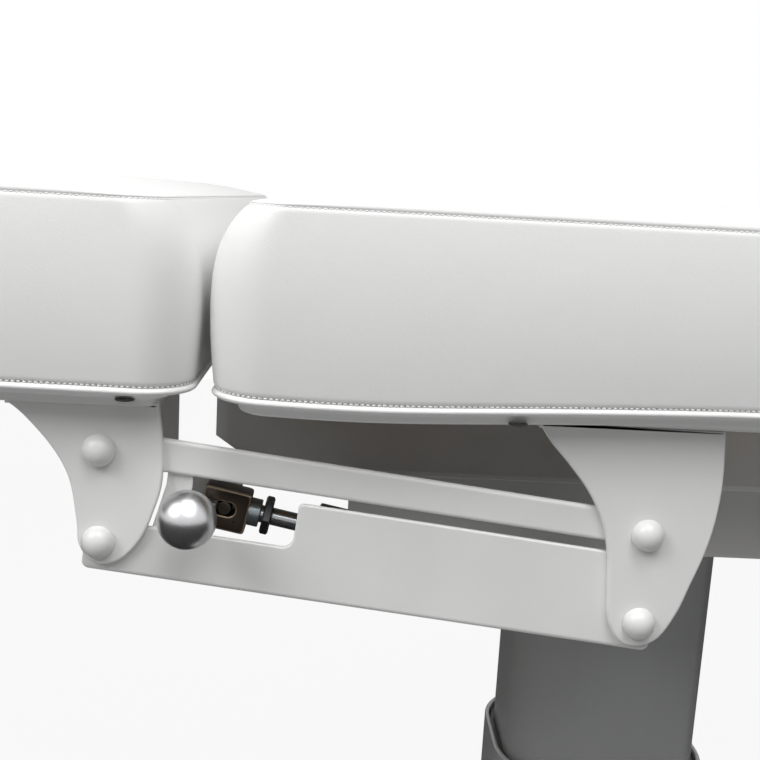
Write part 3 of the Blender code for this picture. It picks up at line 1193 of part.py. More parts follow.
def pivot(name, place, carried, carrier=None):
    """An empty on a joint's axis, with the pieces that turn or slide there. A piece's name may end in *."""
    empty = bpy.data.objects.new("pivot_" + name, None)
    empty.empty_display_size = PIVOT_SIZE
    empty.matrix_world = Matrix.Translation(place)
    BED.objects.link(empty)
    if carrier is not None:
        empty.parent = carrier
        empty.matrix_parent_inverse = Matrix.Translation(carrier.matrix_world.translation).inverted()
    starts = tuple(entry[:-1] for entry in carried if entry.endswith("*"))
    for piece in BED.objects:
        if piece.type == "MESH" and (piece.name in carried or piece.name.startswith(starts)):
            piece.parent = empty
            piece.matrix_parent_inverse = Matrix.Translation(place).inverted()
    return empty


def add_pivots():
    lifted = ("column_inner_*", "chassis_*", "control_box", "seat_*", "back_drive", "leg_drive")
    lift = pivot("lift", (HEAD_COLUMN_X, 0.0, COLUMN_TOP), lifted)
    turned_back = ("back_cushion", "back_board", "back_side_*", "back_cross_*", "back_bracket_*", "bolt_back_*")
    back = pivot("back", (HIP_X, 0.0, HIP_Z), turned_back, lift)
    turned_leg = ("leg_cushion", "leg_board", "leg_side_*", "leg_cross_*")
    pivot("leg", (KNEE_X, 0.0, KNEE_Z), turned_leg, lift)
    pivot("back_rod", back_pin, ("back_rod",), lift)
    pivot("leg_rod", leg_pin, ("leg_rod",), lift)
    upper = pivot("upper_link", UPPER_PIVOT, ("upper_bar_*",), back)
    pivot("lower_link", LOWER_PIVOT, ("lower_plate_*",), back)
    pivot("headrest", HEADREST_UPPER_PIVOT, ("headrest_*", "bolt_headrest_*"), upper)
    spring = pivot("gas_spring", SPRING_FOOT, ("gas_cylinder",), back)
    piston = pivot("gas_piston", SPRING_PIN, ("gas_rod", "release_head"), spring)
    post = SPRING_FOOT + SPRING_LINE * (SPRING_LENGTH + LEVER_POST_SHIFT)
    post.y = -(BRACKET_FACE - LEVER_POST_DEPTH)
    pivot("release_lever", post, ("release_lever",), piston)


build_base()
build_column("head", HEAD_COLUMN_X)
build_column("foot", FOOT_COLUMN_X)
build_chassis()
build_seat()
build_back()
build_leg()
back_pin = (BACK_PIN_X, BACK_DRIVE_Y, BACK_PIN_Z)
build_drive("back", back_pin, BACK_PIN_X + DRIVE_FRONT_CLEAR, 1, BACK_SADDLE_START, CROSS_TOP + SEAT_GAP)
leg_pin = (LEG_PIN_X, LEG_DRIVE_Y, LEG_PIN_Z)
leg_front = LEG_PIN_X - LEG_STROKE - DRIVE_FRONT_CLEAR
build_drive("leg", leg_pin, leg_front, -1, LEG_SADDLE_START, CROSS_BOTTOM - SEAT_GAP)
build_headrest()
build_gas_spring()
add_pivots()
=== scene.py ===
"""An electric beauty bed, seen close up where the headrest's parallel links meet its gas spring."""

import math

import bpy
import numpy as np
from mathutils import Matrix, Vector


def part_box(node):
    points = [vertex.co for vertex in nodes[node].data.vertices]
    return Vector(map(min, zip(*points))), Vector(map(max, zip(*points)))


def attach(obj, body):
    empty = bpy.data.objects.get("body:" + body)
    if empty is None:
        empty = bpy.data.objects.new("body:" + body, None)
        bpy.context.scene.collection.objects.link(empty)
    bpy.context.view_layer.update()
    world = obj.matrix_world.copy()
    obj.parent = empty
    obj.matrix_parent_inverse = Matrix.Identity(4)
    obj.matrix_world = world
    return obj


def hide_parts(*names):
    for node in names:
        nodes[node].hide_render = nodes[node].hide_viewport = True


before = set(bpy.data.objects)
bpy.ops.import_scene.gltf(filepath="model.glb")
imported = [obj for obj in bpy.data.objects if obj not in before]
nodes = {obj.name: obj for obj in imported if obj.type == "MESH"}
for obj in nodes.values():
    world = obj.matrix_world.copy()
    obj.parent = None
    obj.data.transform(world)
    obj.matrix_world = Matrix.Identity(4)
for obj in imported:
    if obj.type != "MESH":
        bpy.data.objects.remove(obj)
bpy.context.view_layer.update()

# The picture is taken from the near side, a little above the cushions' lower seam, with the camera
# tipped down and turned about its own axis, so that the level bed runs downhill to the right.
CAMERA_PLACE = Vector((-0.5586, -0.853, 0.9031))
CAMERA_YAW = math.radians(2.3)
CAMERA_PITCH = math.radians(10.13)
CAMERA_ROLL = math.radians(3.22)
CAMERA_LENS = 48.55
CAMERA_SENSOR = 36.0
CAMERA_NEAR = 0.01
camera_data = bpy.data.cameras.new("camera")
camera_data.sensor_width = CAMERA_SENSOR
camera_data.lens = CAMERA_LENS
camera_data.clip_start = CAMERA_NEAR
camera = bpy.data.objects.new("camera", camera_data)
bpy.context.scene.collection.objects.link(camera)
ahead = Vector((
    math.sin(CAMERA_YAW) * math.cos(CAMERA_PITCH),
    math.cos(CAMERA_YAW) * math.cos(CAMERA_PITCH),
    -math.sin(CAMERA_PITCH),
))
level_right = Vector((math.cos(CAMERA_YAW), -math.sin(CAMERA_YAW), 0.0))
level_up = level_right.cross(ahead)
right = math.cos(CAMERA_ROLL) * level_right + math.sin(CAMERA_ROLL) * level_up
up = math.cos(CAMERA_ROLL) * level_up - math.sin(CAMERA_ROLL) * level_right
camera.matrix_world = Matrix.Translation(CAMERA_PLACE) @ Matrix((right, up, -ahead)).transposed().to_4x4()
bpy.context.scene.camera = camera

# The studio is white: a pale floor, a faint light from all round and three large lamps high up, one at
# the left, one in front and one almost overhead. A dark tray on the floor shows only in reflections.
SKY_WHITE = (1.0, 1.0, 1.0, 1.0)
SKY_LIGHT = (0.985, 0.99, 1.0, 1.0)
SKY_STRENGTH = 0.10
FLOOR_HALF = 4.0
FLOOR_GREY = (0.45, 0.45, 0.45)
FLOOR_ROUGHNESS = 0.7
FLOOR_WHITE_SHARE = 0.93
LAMPS = {
    "left_lamp": ((-2.3, -1.5, 2.6), (-0.45, -0.3, 0.75), 1.4, 41.0),
    "front_lamp": ((-0.1, -1.7, 2.7), (-0.35, -0.3, 0.75), 1.4, 25.0),
    "high_lamp": ((-0.4, -0.9, 3.0), (-0.4, -0.3, 0.75), 1.2, 23.0),
}
TRAY_BLACK = (0.03, 0.03, 0.03)
TRAY_ROUGHNESS = 0.9
TRAY_LOW = 0.03
TRAY_HIGH = 0.66
TRAY_CORNERS = ((-3.0, 2.4), (-3.0, -2.4), (2.0, -2.4), (2.0, 2.4))


def add_nodes(tree, *kinds):
    """New shader nodes of the given kinds in a node tree, in that order."""
    return [tree.nodes.new("ShaderNode" + kind) for kind in kinds]


def link_nodes(tree, *rows):
    """Links nodes of a tree. Each row is a node, its output, the node that it feeds and that one's input."""
    for source, output, target, entry in rows:
        tree.links.new(source.outputs[output], target.inputs[entry])


def new_material(name, colour, roughness, metallic=0.0):
    """A material with one Principled shader of an even colour and roughness."""
    material = bpy.data.materials.new(name)
    material.use_nodes = True
    shader = material.node_tree.nodes["Principled BSDF"]
    shader.inputs["Base Color"].default_value = (*colour, 1.0)
    shader.inputs["Roughness"].default_value = roughness
    shader.inputs["Metallic"].default_value = metallic
    return material


def studio_sheet(name, corners, faces, paint):
    """A sheet of the studio from its corners and faces."""
    mesh = bpy.data.meshes.new(name)
    mesh.from_pydata(corners, [], faces)
    mesh.materials.append(paint)
    sheet = bpy.data.objects.new(name, mesh)
    bpy.context.scene.collection.objects.link(sheet)
    return sheet


bpy.context.scene.view_settings.view_transform = "Standard"
world = bpy.data.worlds.new("studio")
bpy.context.scene.world = world
world.use_nodes = True
sky = world.node_tree
sky.nodes.clear()
seen, lit, path, seen_or_glossy, or_through, choose, sky_out = add_nodes(
    sky, "Background", "Background", "LightPath", "Math", "Math", "MixShader", "OutputWorld"
)
seen.inputs["Color"].default_value = SKY_WHITE
seen.inputs["Strength"].default_value = 1.0
lit.inputs["Color"].default_value = SKY_LIGHT
lit.inputs["Strength"].default_value = SKY_STRENGTH
seen_or_glossy.operation = "MAXIMUM"
or_through.operation = "MAXIMUM"
link_nodes(
    sky,
    (path, "Is Camera Ray", seen_or_glossy, 0),
    (path, "Is Glossy Ray", seen_or_glossy, 1),
    (seen_or_glossy, 0, or_through, 0),
    (path, "Is Transmission Ray", or_through, 1),
    (or_through, 0, choose, "Fac"),
    (lit, 0, choose, 1),
    (seen, 0, choose, 2),
    (choose, 0, sky_out, "Surface"),
)

floor_corners = [(-FLOOR_HALF, -FLOOR_HALF, 0.0), (FLOOR_HALF, -FLOOR_HALF, 0.0)]
floor_corners += [(FLOOR_HALF, FLOOR_HALF, 0.0), (-FLOOR_HALF, FLOOR_HALF, 0.0)]
floor_paint = new_material("floor_paint", FLOOR_GREY, FLOOR_ROUGHNESS)
floor_tree = floor_paint.node_tree
floor_white, floor_mix, floor_path, floor_seen, floor_share = add_nodes(
    floor_tree, "Emission", "MixShader", "LightPath", "Math", "Math"
)
floor_seen.operation = "MAXIMUM"
floor_share.operation = "MULTIPLY"
floor_share.inputs[1].default_value = FLOOR_WHITE_SHARE
link_nodes(
    floor_tree,
    (floor_path, "Is Camera Ray", floor_seen, 0),
    (floor_path, "Is Glossy Ray", floor_seen, 1),
    (floor_seen, 0, floor_share, 0),
    (floor_share, 0, floor_mix, "Fac"),
    (floor_tree.nodes["Principled BSDF"], 0, floor_mix, 1),
    (floor_white, 0, floor_mix, 2),
    (floor_mix, 0, floor_tree.nodes["Material Output"], "Surface"),
)
floor = studio_sheet("floor", floor_corners, [(0, 1, 2, 3)], floor_paint)

for lamp_name, (lamp_place, lamp_aim, lamp_size, lamp_watts) in LAMPS.items():
    lamp_data = bpy.data.lights.new(lamp_name, "AREA")
    lamp_data.shape = "SQUARE"
    lamp_data.size = lamp_size
    lamp_data.energy = lamp_watts
    lamp = bpy.data.objects.new(lamp_name, lamp_data)
    lamp.location = lamp_place
    lamp.rotation_euler = (Vector(lamp_aim) - Vector(lamp_place)).to_track_quat("-Z", "Y").to_euler()
    bpy.context.scene.collection.objects.link(lamp)

card_corners = [(x, y, z) for z in (TRAY_LOW, TRAY_HIGH) for x, y in TRAY_CORNERS]
card_faces = [(0, 1, 2, 3), (0, 1, 5, 4), (1, 2, 6, 5), (2, 3, 7, 6), (3, 0, 4, 7)]
card_paint = new_material("dark_card", TRAY_BLACK, TRAY_ROUGHNESS)
card = studio_sheet("dark_card", card_corners, card_faces, card_paint)
card.visible_camera = False
card.visible_diffuse = False
card.visible_shadow = False
card.visible_transmission = False

# Four levelling feet of black rubber carry a folded and welded base pan in white powder coat. The
# two sleeves are bolted to it by their flanges.
PAINT_WHITE = (0.80, 0.80, 0.79)
RUBBER_BLACK = (0.03, 0.03, 0.031)
NO_STRETCH = (1.0, 1.0, 1.0)
BUMP_STRENGTH = 0.5
BUMP_DETAIL = 3.0
CLOUD_DETAIL = 2.0
CLOUD_EDGES = (0.35, 0.65)
WELD_WITHIN = 0.00001
ROUND_FROM = math.radians(40.0)


def new_group(name, inputs, outputs):
    """A shader node group with named sockets, and its two end nodes. Each socket's name has its kind."""
    group = bpy.data.node_groups.new(name, "ShaderNodeTree")
    for direction, sockets in (("INPUT", inputs), ("OUTPUT", outputs)):
        for label, kind in sockets.items():
            group.interface.new_socket(label, in_out=direction, socket_type="NodeSocket" + kind)
    return group, group.nodes.new("NodeGroupInput"), group.nodes.new("NodeGroupOutput")


# Noise of a fine scale raises the surface by its depth and moves the roughness between two values.
fine_texture, fine_in, fine_out = new_group(
    "fine_texture",
    {"Stretch": "Vector", "Scale": "Float", "Depth": "Float", "Smoothest": "Float", "Roughest": "Float"},
    {"Roughness": "Float", "Normal": "Vector"},
)
fine_place, fine_mapping, fine_noise, fine_bump, fine_spread = add_nodes(
    fine_texture, "TexCoord", "Mapping", "TexNoise", "Bump", "MapRange"
)
fine_noise.inputs["Detail"].default_value = BUMP_DETAIL
fine_bump.inputs["Strength"].default_value = BUMP_STRENGTH
link_nodes(
    fine_texture,
    (fine_place, "Object", fine_mapping, "Vector"),
    (fine_in, "Stretch", fine_mapping, "Scale"),
    (fine_mapping, "Vector", fine_noise, "Vector"),
    (fine_in, "Scale", fine_noise, "Scale"),
    (fine_noise, "Fac", fine_bump, "Height"),
    (fine_in, "Depth", fine_bump, "Distance"),
    (fine_noise, "Fac", fine_spread, "Value"),
    (fine_in, "Smoothest", fine_spread, "To Min"),
    (fine_in, "Roughest", fine_spread, "To Max"),
    (fine_spread, "Result", fine_out, "Roughness"),
    (fine_bump, "Normal", fine_out, "Normal"),
)
# Noise of a broad scale gives a mask for slow changes of colour.
slow_cloud, cloud_in, cloud_out = new_group(
    "slow_cloud", {"Stretch": "Vector", "Scale": "Float"}, {"Mask": "Float"}
)
cloud_place, cloud_mapping, cloud_noise = add_nodes(slow_cloud, "TexCoord", "Mapping", "TexNoise")
cloud_noise.inputs["Detail"].default_value = CLOUD_DETAIL
link_nodes(
    slow_cloud,
    (cloud_place, "Object", cloud_mapping, "Vector"),
    (cloud_in, "Stretch", cloud_mapping, "Scale"),
    (cloud_mapping, "Vector", cloud_noise, "Vector"),
    (cloud_in, "Scale", cloud_noise, "Scale"),
    (cloud_noise, "Fac", cloud_out, "Mask"),
)


def place_group(material, group, values):
    """A shader node group placed in a material, with the material's own values at its inputs."""
    placed = material.node_tree.nodes.new("ShaderNodeGroup")
    placed.node_tree = group
    for label, value in values.items():
        placed.inputs[label].default_value = value
    return placed


def textured(name, colour, roughness, grain, depth, spread, metallic=0.0, stretch=NO_STRETCH):
    """A material with fine bumps of a depth in metres and a grain of about 1 / grain metres.

    Its roughness varies with the bumps, by the spread to both sides of its value.
    """
    material = new_material(name, colour, roughness, metallic)
    values = {"Stretch": stretch, "Scale": grain, "Depth": depth}
    values.update({"Smoothest": roughness - spread, "Roughest": roughness + spread})
    bumps = place_group(material, fine_texture, values)
    shader = material.node_tree.nodes["Principled BSDF"]
    rows = [(bumps, socket, shader, socket) for socket in ("Roughness", "Normal")]
    link_nodes(material.node_tree, *rows)
    return material


def cloud_colour(material, low, high, scale, stretch=NO_STRETCH):
    """Slow changes of colour between low and high, over spots of about 1 / scale metres."""
    tree = material.node_tree
    cloud = place_group(material, slow_cloud, {"Stretch": stretch, "Scale": scale})
    ramp = tree.nodes.new("ShaderNodeValToRGB")
    first, last = ramp.color_ramp.elements
    first.position, last.position = CLOUD_EDGES
    first.color, last.color = (*low, 1.0), (*high, 1.0)
    shader = tree.nodes["Principled BSDF"]
    link_nodes(tree, (cloud, "Mask", ramp, "Fac"), (ramp, "Color", shader, "Base Color"))


powder_coat = textured("powder_coat", PAINT_WHITE, 0.34, grain=700.0, depth=0.00006, spread=0.05)
cloud_colour(powder_coat, (0.785, 0.785, 0.775), (0.82, 0.82, 0.812), scale=9.0)
foot_rubber = textured("foot_rubber", RUBBER_BLACK, 0.75, grain=400.0, depth=0.0002, spread=0.08)


def dress(names, material, edge=0.0):
    """Gives CAD nodes a material and, where edge isn't zero, rounds their edges to that radius."""
    for name in names:
        obj = nodes[name]
        obj.data.materials.clear()
        obj.data.materials.append(material)
        if edge > 0.0:
            weld = obj.modifiers.new("weld", "WELD")
            weld.merge_threshold = WELD_WITHIN
            bevel = obj.modifiers.new("round", "BEVEL")
            bevel.width = edge
            bevel.segments = 2
            bevel.limit_method = "ANGLE"
            bevel.angle_limit = ROUND_FROM
            bevel.harden_normals = False
            bevel.miter_outer = "MITER_ARC"


feet = [name for name in nodes if name.startswith("levelling_foot")]
dress(feet, foot_rubber, edge=0.0006)
dress(["base_pan"], powder_coat)


def new_piece(name, points, faces, material, body, sharp=None):
    """A mesh object from arrays, which rides on a body. Faces over the sharp angle keep their edge."""
    mesh = bpy.data.meshes.new(name)
    mesh.from_pydata(np.asarray(points).tolist(), [], faces)
    mesh.validate()
    mesh.update()
    obj = bpy.data.objects.new(name, mesh)
    bpy.context.scene.collection.objects.link(obj)
    mesh.materials.append(material)
    mesh.shade_smooth()
    if sharp is not None:
        mesh.set_sharp_from_angle(angle=math.radians(sharp))
    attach(obj, body)
    return obj


def grid_faces(rows, columns, wrap_rows=False):
    """The four-sided faces of a grid of points kept row by row. Its rows are closed rings."""
    r, c = np.meshgrid(np.arange(rows if wrap_rows else rows - 1), np.arange(columns), indexing="ij")
    r2, c2 = (r + 1) % rows, (c + 1) % columns
    corners = np.stack([r * columns + c, r * columns + c2, r2 * columns + c2, r2 * columns + c], axis=-1)
    return corners.reshape(-1, 4).tolist()


def capped_grid(rows, columns):
    """The faces of a grid of closed rings, with one more over the first ring and one over the last."""
    last = (rows - 1) * columns
    caps = [list(range(columns))[::-1], list(range(last, last + columns))]
    return grid_faces(rows, columns) + caps


def rounded_outline(half_x, half_y, radius, count):
    """Points and outward directions round a rectangle with rounded corners, evenly by length.

    A quarter is a straight half side, a quarter circle and a straight half side. Where a point's
    distance along the outline falls in the circle, its angle is that distance over the radius.
    """
    straight_x, straight_y = half_x - radius, half_y - radius
    bend = radius * math.pi / 2
    quarter = straight_x + straight_y + bend
    distance = np.arange(count) / count * 4 * quarter
    which = np.floor(distance / quarter).astype(int)
    along = distance - which * quarter
    first = np.where(which % 2 == 0, straight_y, straight_x)
    other = np.where(which % 2 == 0, straight_x, straight_y)
    angle = np.clip((along - first) / radius, 0.0, math.pi / 2)
    side = first + radius * np.sin(angle) - np.clip(first - along, 0.0, None)
    out = other + radius * np.cos(angle) - np.clip(along - first - bend, 0.0, None)
    turn = which * math.pi / 2
    x = out * np.cos(turn) - side * np.sin(turn)
    y = out * np.sin(turn) + side * np.cos(turn)
    return x, y, np.cos(angle + turn), np.sin(angle + turn)


def outline_stack(centre, outline, levels):
    """Rings of one outline: each level is a (distance outward, height) pair of the ring."""
    x, y, out_x, out_y = outline
    rings = [
        np.column_stack([centre[0] + x + out * out_x, centre[1] + y + out * out_y, np.full(len(x), height)])
        for out, height in levels
    ]
    return np.concatenate(rings)


# Each lifting column is two drawn aluminium tubes in silver-grey paint, one inside the other, with
# broad rounded corners. A plastic glide ring fills the gap at the outer tube's rim.
SILVER = (0.56, 0.565, 0.57)
PLASTIC_BLACK = (0.022, 0.022, 0.023)
DRAWN_UPRIGHT = (1.0, 1.0, 0.25)
COLUMN_CORNER = 0.045
COLUMN_POINTS = 160
TUBE_GAP = 0.0045
TUBE_WALL = 0.004
RIM_ROUND = 0.0015
RIM_BEND = RIM_ROUND * 0.3
FLANGE_THICK = 0.008
FLANGE_WIDE = 0.022
FLANGE_GROUND = 0.0005
WELD_FAR = 0.006
WELD_NEAR = 0.002
TOP_MARGIN = 0.0075
TOP_THICK = 0.008
TOP_ROUND = 0.001
INNER_HEM = 0.0035
RAM_LENGTH = 0.380
RAM_SINK = 0.001
RAM_RADIUS = 0.014
RAM_TURNS = 32
silver_paint = textured(
    "silver_paint", SILVER, 0.34, grain=900.0, depth=0.00005, spread=0.05, metallic=0.25,
    stretch=DRAWN_UPRIGHT,
)
cloud_colour(silver_paint, (0.54, 0.545, 0.55), (0.58, 0.585, 0.59), scale=14.0, stretch=DRAWN_UPRIGHT)
black_plastic = textured("black_plastic", PLASTIC_BLACK, 0.45, grain=500.0, depth=0.00015, spread=0.06)
dress([n for n in nodes if n.startswith("column_glide")], black_plastic, edge=0.0006)
dress([n for n in nodes if n.startswith("lift_drive")], black_plastic)
for end in ("head", "foot"):
    low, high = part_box("column_sleeve_" + end)
    middle = ((low[0] + high[0]) / 2, 0.0)
    rim, foot = high[2], low[2]
    inner_low, inner_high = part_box("column_inner_" + end)
    half_x = (inner_high[0] - inner_low[0]) / 2 - TOP_MARGIN
    half_y = (inner_high[1] - inner_low[1]) / 2 - TOP_MARGIN
    tube = rounded_outline(half_x, half_y, COLUMN_CORNER, COLUMN_POINTS)
    outer, flange = TUBE_GAP + TUBE_WALL, foot + FLANGE_THICK
    edge = outer + FLANGE_WIDE
    sleeve_levels = [
        (TUBE_GAP, rim - RIM_ROUND),
        (TUBE_GAP + RIM_BEND, rim - RIM_BEND),
        (TUBE_GAP + RIM_ROUND, rim),
        (outer - RIM_ROUND, rim),
        (outer - RIM_BEND, rim - RIM_BEND),
        (outer, rim - RIM_ROUND),
        (outer, (rim + foot) / 2),
        (outer, flange + WELD_FAR),
        (outer + WELD_NEAR, flange + WELD_NEAR),
        (outer + WELD_FAR, flange),
        (edge - TOP_ROUND, flange),
        (edge, flange - TOP_ROUND),
        (edge, foot + FLANGE_GROUND),
        (TUBE_GAP, foot + FLANGE_GROUND),
    ]
    points = outline_stack(middle, tube, sleeve_levels)
    faces = grid_faces(len(sleeve_levels), COLUMN_POINTS, wrap_rows=True)
    sleeve = new_piece("sleeve_" + end, points, faces, silver_paint, "base", sharp=50)
    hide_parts("column_sleeve_" + end)
    top, under = inner_high[2], inner_high[2] - TOP_THICK
    inner_levels = [
        (-INNER_HEM, inner_low[2]),
        (0.0, inner_low[2]),
        (0.0, (inner_low[2] + under) / 2),
        (0.0, under),
        (TOP_MARGIN - TOP_ROUND, under),
        (TOP_MARGIN, under + TOP_ROUND),
        (TOP_MARGIN, top - TOP_ROUND),
        (TOP_MARGIN - TOP_ROUND, top),
    ]
    points = outline_stack(middle, tube, inner_levels)
    faces = grid_faces(len(inner_levels), COLUMN_POINTS)
    last = (len(inner_levels) - 1) * COLUMN_POINTS
    faces += [list(range(last, last + COLUMN_POINTS))]
    column = new_piece("column_" + end, points, faces, silver_paint, "chassis", sharp=50)
    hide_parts("column_inner_" + end)
    ram_low, ram_high = under - RAM_LENGTH, under + RAM_SINK
    profile = np.array([(0.0, ram_low), (RAM_RADIUS, ram_low), (RAM_RADIUS, ram_high)])
    turns = np.linspace(0.0, 2 * math.pi, RAM_TURNS, endpoint=False)
    ring_x = middle[0] + np.outer(profile[:, 0], np.cos(turns))
    ring_y = np.outer(profile[:, 0], np.sin(turns))
    ring_z = np.repeat(profile[:, 1], len(turns))
    ram_points = np.column_stack([ring_x.ravel(), ring_y.ravel(), ring_z])
    ram = new_piece("ram_" + end, ram_points, grid_faces(3, len(turns)), silver_paint, "chassis", sharp=40)


# The chassis rails, the section frames and their levers are welded from steel tube and plate and
# painted a semi-gloss dark grey. Each cushion is screwed to a board of birch plywood.
FRAME_GREY = (0.66, 0.66, 0.65)
STEEL = (0.50, 0.51, 0.52)
BIRCH = (0.60, 0.45, 0.29)
BIRCH_DARK = (0.42, 0.29, 0.17, 1.0)
BIRCH_PALE = (0.66, 0.51, 0.34, 1.0)
DRAWN_ALONG = (0.08, 1.0, 1.0)
GRAIN_ALONG = (0.06, 1.0, 1.0)
PLY_LAYERS = 105.0
PLY_WANDER = 0.6
frame_paint = textured("frame_paint", FRAME_GREY, 0.36, grain=600.0, depth=0.00008, spread=0.06)
cloud_colour(frame_paint, (0.64, 0.64, 0.63), (0.68, 0.68, 0.67), scale=12.0)
frames = [n for n in nodes if n.startswith(("chassis_", "seat_side", "back_side", "back_cross", "leg_side"))]
frames += ["leg_cross_lever", "headrest_cross"]
dress(frames, frame_paint, edge=0.0008)
ground_steel = textured(
    "ground_steel", STEEL, 0.28, grain=500.0, depth=0.00003, spread=0.06, metallic=1.0, stretch=DRAWN_ALONG
)
dress(["back_rod", "leg_rod"], ground_steel, edge=0.0006)
dress(["back_drive", "leg_drive", "control_box"], black_plastic, edge=0.0010)
plywood = textured("plywood", BIRCH, 0.6, grain=180.0, depth=0.0002, spread=0.06, stretch=GRAIN_ALONG)
ply_place, ply_layers, ply_ramp = add_nodes(plywood.node_tree, "TexCoord", "TexWave", "ValToRGB")
ply_layers.bands_direction = "Z"
ply_layers.inputs["Scale"].default_value = PLY_LAYERS
ply_layers.inputs["Distortion"].default_value = PLY_WANDER
ply_ramp.color_ramp.elements[0].color = BIRCH_DARK
ply_ramp.color_ramp.elements[1].color = BIRCH_PALE
link_nodes(
    plywood.node_tree,
    (ply_place, "Object", ply_layers, "Vector"),
    (ply_layers, "Fac", ply_ramp, "Fac"),
    (ply_ramp, "Color", plywood.node_tree.nodes["Principled BSDF"], "Base Color"),
)
dress([n for n in nodes if n.endswith("_board")], plywood, edge=0.0006)


# Each cushion is a boxed foam block in white upholstery leather: a side band about 95 mm tall, sewn
# to a crowned top and to a skirt that rolls under the board. Both seams are topstitched, and grey
# spindles between the stitches are painted shade in the needle holes.
LEATHER_WHITE = (0.86, 0.86, 0.853)
THREAD_WHITE = (0.88, 0.88, 0.87)
HOLE_SHADE_GREY = (0.33, 0.33, 0.32)
LEATHER_GLOSS = 0.34
SEAM_HEIGHT = 0.801
BAND_HEIGHT = 0.0955
BAND_BULGE = 0.0032
SEAMS = (0.0006, BAND_HEIGHT - 0.0008)
SEAM_DEPTHS = (0.0012, 0.0006)
SEAM_WIDTH = 0.0010
SEAM_REACH = 0.012
SEAM_MOST_INSET = 0.010
CUSHION_CORNER = 0.030
MOST_REACH = CUSHION_CORNER * 0.75
CUSHION_POINTS = 720
SIDE_DRAW = 0.0025
END_WIDTH = 0.05
END_LEAN = 0.016
END_DROP = 0.7
BACK_SAG = (-0.0037, 0.08, 0.085)
BACK_RISE = (0.0026, 0.30, 0.09)
SAG_FADE = 2.5
BOARD_INSET = 0.023
HIP_RADIUS = 0.040
HIP_HEIGHT = 0.8635
STITCH_INSET = 0.0041
STITCH_OUTWARD = 0.0010
STITCH_PITCH = 0.0029
STITCH_LENGTH = 0.0023
STITCH_RADIUS = 0.00052
STITCH_SIDES = 6
STITCH_RINGS = 6
STITCH_TIP = 0.02
HOLE_OVERLAP = 0.0001
HOLE_RADIUS = 0.00034
leather = new_material("leather", LEATHER_WHITE, 0.46)
leather_shader = leather.node_tree.nodes["Principled BSDF"]
leather_shader.inputs["Specular IOR Level"].default_value = LEATHER_GLOSS
grain_place, grain_cells, grain_ramp, grain_bump, soft_noise, soft_bump, gloss_range = add_nodes(
    leather.node_tree, "TexCoord", "TexVoronoi", "MapRange", "Bump", "TexNoise", "Bump", "MapRange"
)
grain_cells.feature = "DISTANCE_TO_EDGE"
for node, entry, value in (
    (grain_cells, "Scale", 850.0),
    (grain_ramp, "From Max", 0.25),
    (grain_bump, "Strength", 0.35),
    (grain_bump, "Distance", 0.00010),
    (soft_noise, "Scale", 28.0),
    (soft_noise, "Detail", 3.0),
    (soft_bump, "Strength", 0.35),
    (soft_bump, "Distance", 0.0009),
    (gloss_range, "To Min", 0.42),
    (gloss_range, "To Max", 0.52),
):
    node.inputs[entry].default_value = value
link_nodes(
    leather.node_tree,
    (grain_place, "Object", grain_cells, "Vector"),
    (grain_place, "Object", soft_noise, "Vector"),
    (grain_cells, "Distance", grain_ramp, "Value"),
    (soft_noise, "Fac", soft_bump, "Height"),
    (grain_ramp, "Result", grain_bump, "Height"),
    (soft_bump, "Normal", grain_bump, "Normal"),
    (soft_noise, "Fac", gloss_range, "Value"),
    (gloss_range, "Result", leather_shader, "Roughness"),
    (grain_bump, "Normal", leather_shader, "Normal"),
)
thread = textured("thread", THREAD_WHITE, 0.7, grain=2500.0, depth=0.0001, spread=0.08)
# The needle holes' grey is painted shade: these spindles sit on the leather, not in a recess.
needle_hole_shade = textured("needle_hole_shade", HOLE_SHADE_GREY, 0.9, grain=2500.0, depth=0.0001, spread=0.05)


def bell(distance, width):
    """One at no distance, falling to both sides as e to minus the square of the distance over the width."""
    return np.exp(-((distance / width) ** 2))


